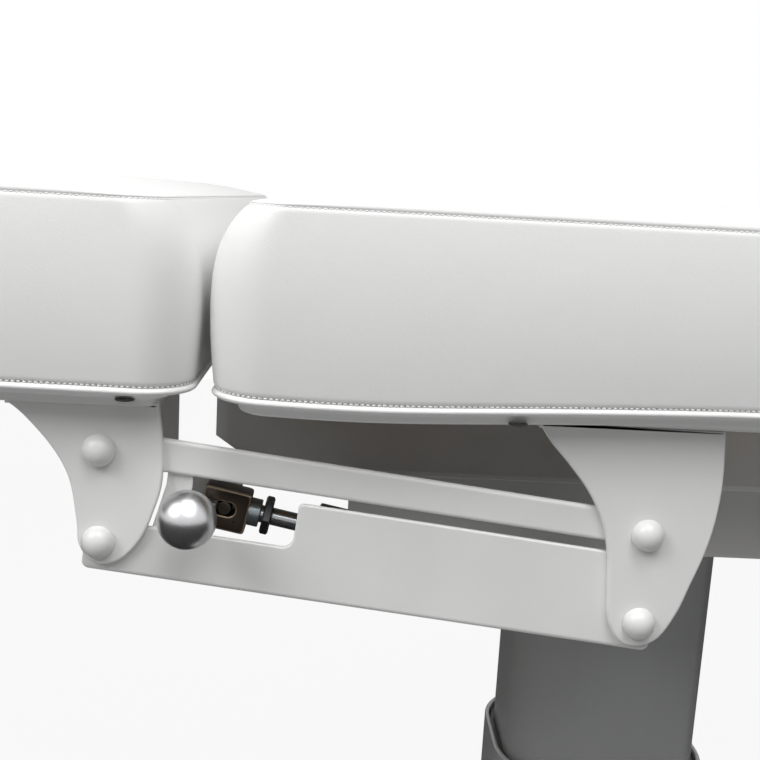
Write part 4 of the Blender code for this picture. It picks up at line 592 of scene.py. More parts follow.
def cushion_levels(low_skirt):
    """The profile of a cushion: (inset from the bulge, height over the lower seam).

    The band is a shallow arc between the seams. A seam is a valley about 3 mm wide, made by adding a
    bell curve as high as its depth to the inset on both sides of it. Under the lower seam the skirt
    makes a narrow roll, goes in under it and ends at the board's edge. The headrest's skirt also has a
    lip in front of its brackets' upper edge.
    """
    if low_skirt:
        under = [
            (0.0237, 0.0008), (0.0237, -0.0108), (0.0234, -0.0116), (0.0222, -0.0118), (0.0196, -0.0118),
            (0.0172, -0.0114), (0.0163, -0.0100), (0.0158, -0.0080), (0.0150, -0.0062), (0.0128, -0.0052),
        ]
    else:
        under = [
            (0.0237, 0.0008), (0.0237, -0.0128), (0.0234, -0.0133), (0.0226, -0.0133), (0.0221, -0.0127),
            (0.0219, -0.0098), (0.0214, -0.0089), (0.0202, -0.0085), (0.0184, -0.0084), (0.0172, -0.0081),
            (0.0162, -0.0074), (0.0150, -0.0060), (0.0128, -0.0052),
        ]
    under += [(0.0095, -0.0048), (0.0062, -0.0045), (0.0038, -0.0039), (0.0024, -0.0030), (0.0020, -0.0021)]
    under += [(0.0022, -0.0012), (0.0028, -0.0004)]
    ends = np.array((0.0, 0.003, 0.006, 0.009, 0.013, 0.018, 0.027, 0.038, 0.052, 0.072, 0.1))
    share = np.concatenate([ends[:-1], np.linspace(0.1, 0.9, 17), 1 - ends[-2::-1]])
    band = np.column_stack([BAND_BULGE * (2 * share - 1) ** 2, BAND_HEIGHT * share])
    over = [(0.0033, 0.0960), (0.0034, 0.0966), (0.0037, 0.0974), (0.0042, 0.0983), (0.0051, 0.0992)]
    over += [(0.0072, 0.1006), (0.0102, 0.1019), (0.0145, 0.1030), (0.0210, 0.1040), (0.0320, 0.1050)]
    over += [(0.0500, 0.1058), (0.0750, 0.1063), (0.1100, 0.1067), (0.1500, 0.1068)]
    levels = np.concatenate([under, band, over])
    for height, depth in zip(SEAMS, SEAM_DEPTHS):
        above = levels[:, 1] - height
        near = (np.abs(above) < SEAM_REACH) & (levels[:, 0] < SEAM_MOST_INSET)
        levels[:, 0] += np.where(near, depth * bell(above, SEAM_WIDTH), 0.0)
    return levels


def cushion_rings(low, high, levels, round_head, round_foot):
    """Rings of a cushion: the rounded outline moved in by each level's inset, the long sides drawn in.

    A side is drawn in by one minus the square of its place between the corners, from -1 to 1. An inset
    past the most reach scales the ring instead. Near an end the top leans in by a bell curve of the
    distance from that end, times the sixth power of the height's share, and the crown lies lower. An
    end at the hip is kept inside a quarter circle about the hinge's height. The back's lower edge sags
    near the headrest and rises further on: each is a bell curve's height, place and width.
    """
    middle = ((low[0] + high[0]) / 2, 0.0)
    half_x, half_y = (high[0] - low[0]) / 2, (high[1] - low[1]) / 2
    x, y, out_x, out_y = rounded_outline(half_x, half_y, CUSHION_CORNER, CUSHION_POINTS)
    along_x = np.clip(np.abs(x) / (half_x - CUSHION_CORNER), 0.0, 1.0)
    along_y = np.clip(np.abs(y) / (half_y - CUSHION_CORNER), 0.0, 1.0)
    draw = SIDE_DRAW * np.where(np.abs(out_y) > np.abs(out_x), 1 - along_x**2, 1 - along_y**2)
    from_gap = middle[0] + x - low[0]
    is_back = round_foot and not round_head
    sag = is_back * sum(rise * bell(from_gap - place, width) for rise, place, width in (BACK_SAG, BACK_RISE))
    rings = []
    for inset, height in levels:
        share = min(max(height / BAND_HEIGHT, 0.0), 1.0)
        reach = np.minimum(inset + draw, MOST_REACH)
        ring_x, ring_y = x - out_x * reach, y - out_y * reach
        rest = max(inset - MOST_REACH, 0.0)
        ring_x *= (half_x - MOST_REACH - rest) / (half_x - MOST_REACH)
        ring_y *= (half_y - MOST_REACH - rest) / (half_y - MOST_REACH)
        end = bell(half_x - np.abs(ring_x), END_WIDTH)
        ring_x -= np.sign(x) * END_LEAN * end * share**6
        ring_z = SEAM_HEIGHT + height - END_DROP * end * max(height - BAND_HEIGHT, 0.0)
        if inset < BOARD_INSET:
            ring_z = ring_z + sag * max(1 - share * SAG_FADE, 0.0)
        rings.append(np.column_stack([middle[0] + ring_x, middle[1] + ring_y, ring_z]))
    points = np.concatenate(rings)
    ends = ((round_foot, high[0] - HIP_RADIUS, 1), (round_head, low[0] + HIP_RADIUS, -1))
    for wanted, centre, side in ends:
        if wanted:
            across, above = (points[:, 0] - centre) * side, points[:, 2] - HIP_HEIGHT
            distance = np.hypot(across, above)
            beyond = (across > 0) & (above > 0) & (distance > HIP_RADIUS)
            scale = np.where(beyond, HIP_RADIUS / np.maximum(distance, 1e-6), 1.0)
            points[:, 0] = np.where(beyond, centre + across * scale * side, points[:, 0])
            points[:, 2] = np.where(beyond, HIP_HEIGHT + above * scale, points[:, 2])
    return points


def stitch_row(path, outward, start, size, radius):
    """Short six-sided spindles along a closed path of points, one in each pitch of the stitching.

    Each spindle runs for its size from its start in the pitch. Its radius at a share t of its length
    is the given radius times the square root of 4 t (1 - t), or of the tip's least value, and its
    middle stands out by half of that.
    """
    step = np.roll(path, -1, axis=0) - path
    length = np.linalg.norm(step, axis=1)
    travelled = np.concatenate([[0.0], np.cumsum(length)])
    closed = np.concatenate([path, path[:1]])
    out_closed = np.concatenate([outward, outward[:1]])
    count = int(travelled[-1] / STITCH_PITCH)
    starts = np.arange(count) * travelled[-1] / count + start
    shares = np.linspace(0.0, 1.0, STITCH_RINGS)
    places = starts[:, None] + shares[None, :] * size
    centre = np.stack([np.interp(places, travelled, closed[:, k]) for k in range(3)], axis=-1)
    away = np.stack([np.interp(places, travelled, out_closed[:, k]) for k in range(3)], axis=-1)
    away /= np.linalg.norm(away, axis=-1, keepdims=True)
    tangent = np.gradient(centre, axis=1)
    tangent /= np.linalg.norm(tangent, axis=-1, keepdims=True)
    side = np.cross(tangent, away)
    swell = np.sqrt(np.clip(4 * shares * (1 - shares), STITCH_TIP, None)) * radius
    angles = np.arange(STITCH_SIDES) * 2 * math.pi / STITCH_SIDES
    ring = away[:, :, None, :] * np.cos(angles)[None, None, :, None]
    ring = ring + side[:, :, None, :] * np.sin(angles)[None, None, :, None]
    lifted = centre + away * (swell * 0.5)[None, :, None]
    points = lifted[:, :, None, :] + ring * swell[None, :, None, None]
    one = np.array(grid_faces(STITCH_RINGS, STITCH_SIDES))
    offsets = np.arange(count) * STITCH_RINGS * STITCH_SIDES
    faces = (one[None, :, :] + offsets[:, None, None]).reshape(-1, 4)
    return points.reshape(-1, 3), faces.tolist()


cushion_bodies = {
    "headrest_cushion": "headrest",
    "back_cushion": "back",
    "seat_cushion": "chassis",
    "leg_cushion": "leg",
}
for node, body in cushion_bodies.items():
    low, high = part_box(node)
    levels = cushion_levels(node != "headrest_cushion")
    hips = (node == "seat_cushion", node == "back_cushion")
    points = cushion_rings(low, high, levels, *hips)
    faces = capped_grid(len(levels), CUSHION_POINTS)
    cushion = new_piece(node.replace("_cushion", "_pad"), points, faces, leather, body)
    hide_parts(node)
    hole_size = STITCH_PITCH - STITCH_LENGTH + 2 * HOLE_OVERLAP
    # The second kind of spindle is grey, as painted shade of the needle holes between the stitches.
    spindles = (
        (thread, "_stitches", 0.0, STITCH_LENGTH, STITCH_RADIUS),
        (needle_hole_shade, "_holes", STITCH_LENGTH - HOLE_OVERLAP, hole_size, HOLE_RADIUS),
    )
    for material, ending, start, size, radius in spindles:
        rows = []
        for height in SEAMS:
            both = [(STITCH_INSET, height), (STITCH_INSET - STITCH_OUTWARD, height)]
            row = cushion_rings(low, high, both, *hips)
            path, outer = row[:CUSHION_POINTS], row[CUSHION_POINTS:]
            rows.append(stitch_row(path, outer - path, start, size, radius))
        points = np.concatenate([rows[0][0], rows[1][0]])
        faces = rows[0][1] + (np.array(rows[1][1]) + len(rows[0][0])).tolist()
        seam = new_piece(node.replace("_cushion", ending), points, faces, material, body)


# The headrest and the back each carry two brackets of 4 mm steel plate in white powder coat. A
# bracket's folded top flange is screwed up into the board, with a dark screw beside it in the skirt.
BRACKET_FACE = 0.3205
BRACKET_SHEET = 0.004
BRACKET_FLANGE = 0.034
BRACKET_EDGE = 0.0013
BRACKET_TOP = 0.7892
BRACKET_POINTS = 220
TOP_POINTS = 40
FLANGE_END = 0.0015
FLANGE_SINK = 0.0002
FLANGE_EDGE = 0.0004
GAP_X = -0.630
BRACKET_WHITE = (0.86, 0.86, 0.85)
SCREW_BRONZE = (0.10, 0.095, 0.085)
HEADREST_BRACKET = np.array([
    (-0.106, -0.0118), (-0.094, -0.021), (-0.079, -0.038), (-0.070, -0.055), (-0.066, -0.078),
    (-0.065, -0.090), (-0.060, -0.099), (-0.052, -0.102), (-0.041, -0.098), (-0.031, -0.086),
    (-0.025, -0.071), (-0.021, -0.056), (-0.0205, -0.036), (-0.023, -0.0118),
])
BACK_BRACKET = np.array([
    (0.179, -0.0118), (0.187, -0.023), (0.198, -0.035), (0.210, -0.050), (0.219, -0.067), (0.2235, -0.086),
    (0.225, -0.104), (0.227, -0.122), (0.2345, -0.1345), (0.245, -0.137), (0.256, -0.132), (0.265, -0.117),
    (0.271, -0.100), (0.277, -0.082), (0.281, -0.063), (0.2826, -0.040), (0.281, -0.0118),
])
BRACKETS = {"headrest": (HEADREST_BRACKET, -0.0393, 0.0044), "back": (BACK_BRACKET, 0.1666, 0.0012)}
SCREW_FACE = 0.0068
SCREW_EDGE = 0.0008
SCREW_HEAD = [(0.0, 0.0006), (0.0052, 0.0006), (0.0052, 0.0017), (0.0, 0.0024)]
SIDES = {"near": -1, "far": 1}
bracket_paint = textured("bracket_paint", BRACKET_WHITE, 0.40, grain=420.0, depth=0.00008, spread=0.05)
cloud_colour(bracket_paint, (0.84, 0.84, 0.83), (0.88, 0.88, 0.87), scale=16.0)
screw_bronze = textured("screw_bronze", SCREW_BRONZE, 0.42, grain=900.0, depth=0.0001, spread=0.08)


def smooth_curve(points, count, steps=24):
    """An even run of points on the cubic spline that goes through the given ones.

    Between two points it is the cubic with each end's slope taken from the points on both sides of it.
    """
    before = np.vstack([2 * points[0] - points[1], points[:-1]])
    after = np.vstack([points[1:], 2 * points[-1] - points[-2]])
    slope = (after - before) / 2
    t = np.linspace(0.0, 1.0, steps, endpoint=False)[:, None]
    start, end = points[:-1, None, :], points[1:, None, :]
    first, last = slope[:-1, None, :], slope[1:, None, :]
    fine = (2 * t**3 - 3 * t**2 + 1) * start + (t**3 - 2 * t**2 + t) * first
    fine = fine + (3 * t**2 - 2 * t**3) * end + (t**3 - t**2) * last
    fine = np.vstack([fine.reshape(-1, 2), points[-1:]])
    run = np.concatenate([[0.0], np.cumsum(np.linalg.norm(np.diff(fine, axis=0), axis=1))])
    even = np.linspace(0.0, run[-1], count)
    return np.column_stack([np.interp(even, run, fine[:, 0]), np.interp(even, run, fine[:, 1])])


def arc_points(centre, radius, start, end, count):
    """Points on a circle from the start angle to the end angle, both in quarter turns."""
    angle = np.linspace(start, end, count) * math.pi / 2
    return np.column_stack([centre[0] + radius * np.cos(angle), centre[1] + radius * np.sin(angle)])


def rectangle(low_x, low_z, high_x, high_z):
    """The four corners, anticlockwise from the lower left one."""
    return np.array([(low_x, low_z), (high_x, low_z), (high_x, high_z), (low_x, high_z)])


CAP_INSET = 0.0006
BACK_EDGE = 0.0006
EDGE_STEPS = 6


def rounded_plate(name, outline, face, depth, radius, material, body, back_radius=BACK_EDGE):
    """A flat plate with rounded edges. Its outline is anticlockwise (x, z) points, seen from the near side.

    Ring after ring, the outline is moved in by r (1 - sin a) and the ring's depth is r (1 - cos a), as
    a quarter circle does. The front face starts at y = face and the plate is depth thick, away from it.
    """
    outline = np.asarray(outline)
    radius = np.broadcast_to(np.asarray(radius, float), (len(outline),))
    ahead, behind = np.roll(outline, -1, axis=0) - outline, outline - np.roll(outline, 1, axis=0)
    ahead = ahead / np.linalg.norm(ahead, axis=1, keepdims=True)
    behind = behind / np.linalg.norm(behind, axis=1, keepdims=True)
    tangent = ahead + behind
    tangent /= np.linalg.norm(tangent, axis=1, keepdims=True)
    inward = np.column_stack([-tangent[:, 1], tangent[:, 0]])
    away = 1.0 if depth > 0 else -1.0
    angles = np.linspace(0.0, math.pi / 2, EDGE_STEPS)
    front = [(radius + CAP_INSET, 0.0 * radius)]
    front += [(radius * (1 - math.sin(a)), radius * (1 - math.cos(a))) for a in angles]
    back_r = np.minimum(back_radius, radius)
    back = [(back_r * (1 - math.cos(a)), abs(depth) - back_r * (1 - math.sin(a))) for a in angles]
    back += [(back_r + CAP_INSET, abs(depth) + 0.0 * radius)]
    rings = []
    for inset, deep in front + back:
        flat = outline + inward * np.asarray(inset)[:, None]
        y = face + away * np.broadcast_to(deep, (len(outline),))
        rings.append(np.column_stack([flat[:, 0], y, flat[:, 1]]))
    faces = capped_grid(len(rings), len(outline))
    if away < 0:
        faces = [loop[::-1] for loop in faces]
    return new_piece(name, np.concatenate(rings), faces, material, body)


def lathe(name, profile, place, axis, material, body, turns=48, sharp=40):
    """A turned piece: the profile's (radius, height) points carried round the axis that starts at place."""
    profile = np.asarray(profile, float)
    axis = np.asarray(Vector(axis).normalized())
    side = np.cross(axis, (0.0, 0.0, 1.0) if abs(axis[2]) < 0.9 else (1.0, 0.0, 0.0))
    side /= np.linalg.norm(side)
    other = np.cross(axis, side)
    angle = np.linspace(0.0, 2 * math.pi, turns, endpoint=False)
    round_about = np.cos(angle)[:, None] * side + np.sin(angle)[:, None] * other
    out, up_axis = profile[:, 0][:, None, None], profile[:, 1][:, None, None]
    points = np.asarray(place) + up_axis * axis + out * round_about
    faces = capped_grid(len(profile), turns)
    return new_piece(name, points.reshape(-1, 3), faces, material, body, sharp=sharp)


def turned_bar(radius, low, high, bore=0.0):
    """The (radius, height) profile of a plain turned bar, or of a ring where it has a bore."""
    return [(bore, low), (radius, low), (radius, high), (bore, high)]


def round_corners(profile, radius, count=4):
    """The (radius, height) profile of a turned piece, with each inner corner cut by a short curve.

    The curve is the square curve that starts and ends at the given distance from the corner, or at
    0.45 of an edge that is too short for it.
    """
    points = [profile[0]]
    for before, corner, after in zip(profile, profile[1:], profile[2:]):
        before, corner, after = np.array(before), np.array(corner), np.array(after)
        start = corner + (before - corner) * min(radius / np.linalg.norm(before - corner), 0.45)
        end = corner + (after - corner) * min(radius / np.linalg.norm(after - corner), 0.45)
        t = np.linspace(0.0, 1.0, count)[:, None]
        points += ((1 - t) ** 2 * start + 2 * t * (1 - t) * corner + t**2 * end).tolist()
    return points + [profile[-1]]


for side_name, side in SIDES.items():
    for section, (edge, screw_x, screw_rise) in BRACKETS.items():
        curve = smooth_curve(edge, BRACKET_POINTS)
        top_x = np.linspace(curve[-1, 0], curve[0, 0], TOP_POINTS + 2)[1:-1]
        top = np.column_stack([top_x, np.full(TOP_POINTS, BRACKET_TOP - SEAM_HEIGHT)])
        outline = np.vstack([curve, top]) + (GAP_X, SEAM_HEIGHT)
        name = "%s_bracket_%s" % (section, side_name)
        plate = rounded_plate(name + "_plate", outline, side * BRACKET_FACE, -side * BRACKET_SHEET,
                              BRACKET_EDGE, bracket_paint, section)
        flange = rectangle(GAP_X + edge[0, 0] + FLANGE_END, BRACKET_TOP - BRACKET_SHEET,
                           GAP_X + edge[-1, 0] - FLANGE_END, BRACKET_TOP - FLANGE_SINK)
        flange_face = side * (BRACKET_FACE - BRACKET_SHEET + FLANGE_EDGE)
        flange_depth = -side * (BRACKET_FLANGE - BRACKET_SHEET)
        flange_piece = rounded_plate(name + "_flange", flange, flange_face, flange_depth, FLANGE_EDGE,
                                     bracket_paint, section, FLANGE_EDGE)
        place = (GAP_X + screw_x, side * (BRACKET_FACE + SCREW_FACE), BRACKET_TOP + screw_rise)
        head = lathe(name + "_screw", round_corners(SCREW_HEAD, SCREW_EDGE), place, (0.0, 0.0, -1.0),
                     screw_bronze, section)
        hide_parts(name)


# Two links on each side join the brackets. The upper one is a bar with its lower edge folded inward,
# the lower one a plate cut low at its head end, with its bottom edge folded inward.
LINK_GAP = 0.0003
LINK_FACE = BRACKET_FACE - BRACKET_SHEET - LINK_GAP
LINK_SHEET = 0.003
LINK_BACK_EDGE = 0.0004
LINK_FOLD = 0.009
FOLD_EDGE = 0.0003
LINK_LENGTH = 0.300
LINK_SLOPE = math.radians(6.5)
UPPER_PIVOT = (-0.386, 0.729)
LOWER_PIVOT = (-0.386, 0.678)
BAR_LOW = -0.00845
BAR_HIGH = 0.0102
BAR_EDGE = 0.0022
BAR_FOLD_END = 0.022
PLATE_LOW = -0.0182
PLATE_HIGH = 0.0365
PLATE_BACK = -0.010
PLATE_HEAD = LINK_LENGTH + 0.0085
PLATE_CORNER = 0.004
PLATE_EDGE = 0.0010
PLATE_LOW_EDGE = 0.0026
PLATE_FOLD = (-0.004, 0.302)
ARM_HIGH = 0.0107
WINDOW_START = LINK_LENGTH - 0.1035
WINDOW_INNER = 0.006
WINDOW_OUTER = 0.003
EDGE_PITCH = 0.003
link_paint = textured("link_paint", BRACKET_WHITE, 0.38, grain=420.0, depth=0.00008, spread=0.05)
cloud_colour(link_paint, (0.84, 0.84, 0.83), (0.88, 0.88, 0.87), scale=16.0)


def along_link(pivot, points):
    """Turns (along, above) points, measured on a link from its pivot at the back, into (x, z)."""
    points = np.asarray(points)
    run, rise = math.cos(LINK_SLOPE), math.sin(LINK_SLOPE)
    x = pivot[0] - points[:, 0] * run + points[:, 1] * rise
    z = pivot[1] + points[:, 0] * rise + points[:, 1] * run
    return np.column_stack([x, z])


def straight(start, end, count):
    """Points from start up to but not at the end."""
    share = np.linspace(0.0, 1.0, count, endpoint=False)[:, None]
    return np.asarray(start) + share * (np.asarray(end) - np.asarray(start))


def anticlockwise(points):
    """The closed outline turned the other way if it runs clockwise."""
    x, z = points[:, 0], points[:, 1]
    area = np.sum(x * np.roll(z, -1) - np.roll(x, -1) * z)
    return points if area > 0 else points[::-1]


def link_fold(name, pivot, corners, edge, side, body):
    """The flange folded inward along a link's lower edge, from behind the rounding of its face."""
    outline = along_link(pivot, rectangle(*corners))[::-1]
    fold = rounded_plate(name, outline, side * (LINK_FACE - edge), -side * (LINK_FOLD - edge), FOLD_EDGE,
                         link_paint, body, FOLD_EDGE)


for side_name, side in SIDES.items():
    middle, half = (BAR_LOW + BAR_HIGH) / 2, (BAR_HIGH - BAR_LOW) / 2
    head_end = arc_points((LINK_LENGTH, middle), half, -1, 1, 24)
    back_end = arc_points((0.0, middle), half, 1, 3, 24)
    flat = np.vstack([head_end[:-1], straight(head_end[-1], back_end[0], 60), back_end[:-1],
                      straight(back_end[-1], head_end[0], 60)])
    name = "upper_bar_" + side_name
    outline = along_link(UPPER_PIVOT, flat)[::-1]
    bar = rounded_plate(name + "_face", outline, side * LINK_FACE, -side * LINK_SHEET, BAR_EDGE, link_paint,
                        "upper_link", LINK_BACK_EDGE)
    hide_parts(name)
    corners = (BAR_FOLD_END, BAR_LOW, LINK_LENGTH - BAR_FOLD_END, BAR_LOW + LINK_SHEET)
    link_fold(name + "_fold", UPPER_PIVOT, corners, BAR_EDGE, side, "upper_link")

    name = "lower_plate_" + side_name
    corner, inner, outer = PLATE_CORNER, WINDOW_INNER, WINDOW_OUTER
    pieces = [
        arc_points((PLATE_BACK + corner, PLATE_LOW + corner), corner, 2, 3, 12),
        arc_points((PLATE_HEAD - corner, PLATE_LOW + corner), corner, 3, 4, 12),
        arc_points((PLATE_HEAD - corner, ARM_HIGH - corner), corner, 0, 1, 12),
        arc_points((WINDOW_START + inner, ARM_HIGH + inner), inner, 3, 2, 14),
        arc_points((WINDOW_START - outer, PLATE_HIGH - outer), outer, 0, 1, 12),
        arc_points((PLATE_BACK + corner, PLATE_HIGH - corner), corner, 1, 2, 12),
    ]
    runs = []
    for piece, following in zip(pieces, pieces[1:] + pieces[:1]):
        run = np.linalg.norm(following[0] - piece[-1])
        runs += [piece[:-1], straight(piece[-1], following[0], max(int(run / EDGE_PITCH), 2))]
    flat = np.vstack(runs)
    blend = np.clip((flat[:, 1] - PLATE_LOW) / corner, 0.0, 1.0)
    radius = PLATE_LOW_EDGE + (PLATE_EDGE - PLATE_LOW_EDGE) * blend
    outline, radius = along_link(LOWER_PIVOT, flat)[::-1], radius[::-1]
    plate = rounded_plate(name + "_face", outline, side * LINK_FACE, -side * LINK_SHEET, radius, link_paint,
                          "lower_link", LINK_BACK_EDGE)
    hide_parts(name)
    corners = (PLATE_FOLD[0], PLATE_LOW, PLATE_FOLD[1], PLATE_LOW + LINK_SHEET)
    link_fold(name + "_fold", LOWER_PIVOT, corners, PLATE_LOW_EDGE, side, "lower_link")


# Each pivot is a white-capped dome bolt through bracket and link, with a nut behind. The spring's own
# bolt carries a spacer sleeve as well.
BOLT_DOME = 0.0090
BOLT_RISE = 0.0078
CAP_LOW = 0.0003
CAP_HIGH = 0.0004
CAP_TUCK = 0.0006
SHANK_RADIUS = 0.004
NUT_RADIUS = 0.007
NUT_HEIGHT = 0.006
NUT_PLACE = 0.0076
SPRUNG_NUT_PLACE = 0.0383
SPACER_RADIUS = 0.006
SPACER_END = 0.0257
dome_white = textured("dome_white", PAINT_WHITE, 0.30, grain=500.0, depth=0.00005, spread=0.05)
HEADREST_SHIFT = (-math.cos(LINK_SLOPE) * LINK_LENGTH, math.sin(LINK_SLOPE) * LINK_LENGTH)
for side_name, side in SIDES.items():
    for section, shift in (("headrest", HEADREST_SHIFT), ("back", (0.0, 0.0))):
        for level, pivot in (("upper", UPPER_PIVOT), ("lower", LOWER_PIVOT)):
            sprung = side < 0 and section == "back" and level == "lower"
            angle = np.linspace(0.0, math.pi / 2, 15)
            dome = np.column_stack([BOLT_DOME * np.sin(angle), CAP_HIGH + BOLT_RISE * np.cos(angle)])
            profile = dome.tolist() + [(BOLT_DOME - CAP_TUCK, CAP_LOW), (SHANK_RADIUS, CAP_LOW)]
            nut_place = NUT_PLACE
            if sprung:
                profile += [(SHANK_RADIUS, -NUT_PLACE), (SPACER_RADIUS, -NUT_PLACE)]
                profile += [(SPACER_RADIUS, -SPACER_END), (SHANK_RADIUS, -SPACER_END)]
                nut_place = SPRUNG_NUT_PLACE
            nut_end = nut_place + NUT_HEIGHT
            profile += [(SHANK_RADIUS, -nut_place), (NUT_RADIUS, -nut_place), (NUT_RADIUS, -nut_end)]
            profile += [(0.0, -nut_end)]
            name = "bolt_%s_%s_%s" % (section, level, side_name)
            place = (pivot[0] + shift[0], side * BRACKET_FACE, pivot[1] + shift[1])
            bolt = lathe(name + "_turned", profile, place, (0.0, side, 0.0), dome_white, section, sharp=50)
            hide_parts(name)


# The lockable gas spring runs from the back bracket's lower bolt to a cross pin in the upper bar's
# lug. Its cylinder is enamelled black, its rod is ground steel with a lock nut.
SPRING_Y = -0.2885
SPRING_FOOT = np.array((LOWER_PIVOT[0], SPRING_Y, LOWER_PIVOT[1]))
SPRING_PIN = np.array((-0.620, SPRING_Y, 0.7255))
SPRING_LENGTH = float(np.linalg.norm(SPRING_PIN - SPRING_FOOT))
SPRING_LINE = (SPRING_PIN - SPRING_FOOT) / SPRING_LENGTH
SPRING_UP = np.array((-SPRING_LINE[2], 0.0, SPRING_LINE[0])) * -1
ENAMEL_BLACK = (0.03, 0.03, 0.032)
ROD_GREY = (0.30, 0.31, 0.32)
ZINC_GREY = (0.24, 0.27, 0.29)
NUT_BLACK = (0.012, 0.012, 0.013)
TUBE_START = 0.017
TUBE_END = 0.186
TUBE_RADIUS = 0.014
TUBE_ROUND = 0.0012
BORE_START = 0.111
BORE_RADIUS = 0.0053
EYE_RADIUS = 0.009
EYE_REACH = 0.0185
EYE_HALF = 0.006
ROD_START = 0.126
ROD_RADIUS = 0.005
ROD_SINK = 0.003
ROD_ROUND = 0.0005
HEAD_FACE = SPRING_LENGTH - 0.014
LOCK_NUT = (HEAD_FACE - 0.013, HEAD_FACE - 0.008)
LOCK_NUT_RADIUS = 0.0112
LOCK_NUT_FLAT = 0.0100
LOCK_NUT_BORE = 0.0045
LOCK_NUT_BEVEL = 0.0008
spring_enamel = textured("spring_enamel", ENAMEL_BLACK, 0.28, grain=400.0, depth=0.00005, spread=0.05)
rod_steel = textured(
    "rod_steel", ROD_GREY, 0.22, grain=500.0, depth=0.00003, spread=0.05, metallic=1.0, stretch=DRAWN_ALONG
)
zinc = textured("zinc", ZINC_GREY, 0.36, grain=700.0, depth=0.0001, spread=0.08, metallic=0.85)
nut_black = textured("nut_black", NUT_BLACK, 0.42, grain=900.0, depth=0.0001, spread=0.08)


def spring_lathe(name, profile, material, body, **more):
    """A turned piece on the spring's own axis, its profile measured from the spring's foot."""
    return lathe(name, profile, SPRING_FOOT, SPRING_LINE, material, body, **more)


tube_profile = [(0.0, BORE_START), (BORE_RADIUS, BORE_START), (BORE_RADIUS, TUBE_END)]
tube_profile += [(TUBE_RADIUS, TUBE_END), (TUBE_RADIUS, TUBE_START), (0.0, TUBE_START)]
cylinder = spring_lathe("gas_tube", round_corners(tube_profile, TUBE_ROUND), spring_enamel, "gas_body")
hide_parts("gas_cylinder")
eye_ring = arc_points((0.0, 0.0), EYE_RADIUS, 1, 3, 24)
eye_corners = [eye_ring[-1], (EYE_REACH, -EYE_RADIUS), (EYE_REACH, EYE_RADIUS), eye_ring[0]]
eye_runs = [straight(start, end, 8) for start, end in zip(eye_corners, eye_corners[1:])]
eye_flat = np.vstack([eye_ring[:-1], *eye_runs])


def along_spring(points):
    """Turns (along, above) points, measured on the spring's axis from its foot, into (x, z)."""
    points = np.asarray(points)
    x = SPRING_FOOT[0] + points[:, 0] * SPRING_LINE[0] + points[:, 1] * SPRING_UP[0]
    z = SPRING_FOOT[2] + points[:, 0] * SPRING_LINE[2] + points[:, 1] * SPRING_UP[2]
    return np.column_stack([x, z])


eye = rounded_plate("gas_eye", anticlockwise(along_spring(eye_flat)), SPRING_Y - EYE_HALF, 2 * EYE_HALF,
                    TUBE_ROUND, spring_enamel, "gas_body", TUBE_ROUND)
rod_profile = turned_bar(ROD_RADIUS, ROD_START, HEAD_FACE + ROD_SINK)
gas_rod = spring_lathe("gas_spindle", round_corners(rod_profile, ROD_ROUND), rod_steel, "gas_piston")
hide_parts("gas_rod")
nut_low, nut_high = LOCK_NUT
nut_profile = [
    (LOCK_NUT_BORE, nut_low),
    (LOCK_NUT_FLAT, nut_low),
    (LOCK_NUT_RADIUS, nut_low + LOCK_NUT_BEVEL),
    (LOCK_NUT_RADIUS, nut_high - LOCK_NUT_BEVEL),
    (LOCK_NUT_FLAT, nut_high),
    (LOCK_NUT_BORE, nut_high),
]
nut = spring_lathe("lock_nut", nut_profile, nut_black, "gas_piston", turns=6, sharp=20)


# The release head is a small block of bronze-coloured steel. The cross pin passes through its oval
# slot, and a tan painted highlight runs along its edges. A zinc-plated collar sits where the rod enters it.
HEAD_TOP = 0.0115
HEAD_HALF = 0.0075
HEAD_REACH = 0.0135
HEAD_SINK = 0.0006
HEAD_EDGE = 0.0014
HEAD_POWER = 16.0
HEAD_POINTS = 192
SLOT_RADIUS = 0.0042
SLOT_RUN = 0.0024
SLOT_TURN = 40.0
SLOT_EDGE = 0.0005
HIGHLIGHT_OUT = 0.0004
HIGHLIGHT_IN = 0.0005
HIGHLIGHT_DEEP = 0.0011
COLLAR = (HEAD_FACE - 0.0065, HEAD_FACE + 0.0006)
COLLAR_BORE = 0.0048
COLLAR_RADIUS = 0.008
COLLAR_ROUND = 0.0008
BRONZE = (0.050, 0.034, 0.025)
BRONZE_FACE = (0.060, 0.044, 0.034, 1.0)
BRONZE_HIGHLIGHT = (0.48, 0.38, 0.27, 1.0)
bronze = textured("bronze", BRONZE, 0.30, grain=300.0, depth=0.0001, spread=0.07, metallic=0.55)
# The tan on the head's edges is a painted highlight, mixed into the dark face colour by each point's share.
highlight_attribute, bronze_mix = add_nodes(bronze.node_tree, "Attribute", "Mix")
highlight_attribute.attribute_name = "painted_edge_highlight"
bronze_mix.data_type = "RGBA"
bronze_mix.inputs["A"].default_value = BRONZE_FACE
bronze_mix.inputs["B"].default_value = BRONZE_HIGHLIGHT
bronze_shader = bronze.node_tree.nodes["Principled BSDF"]
link_nodes(
    bronze.node_tree, (highlight_attribute, "Fac", bronze_mix, "Factor"), (bronze_mix, "Result", bronze_shader, "Base Color")
)


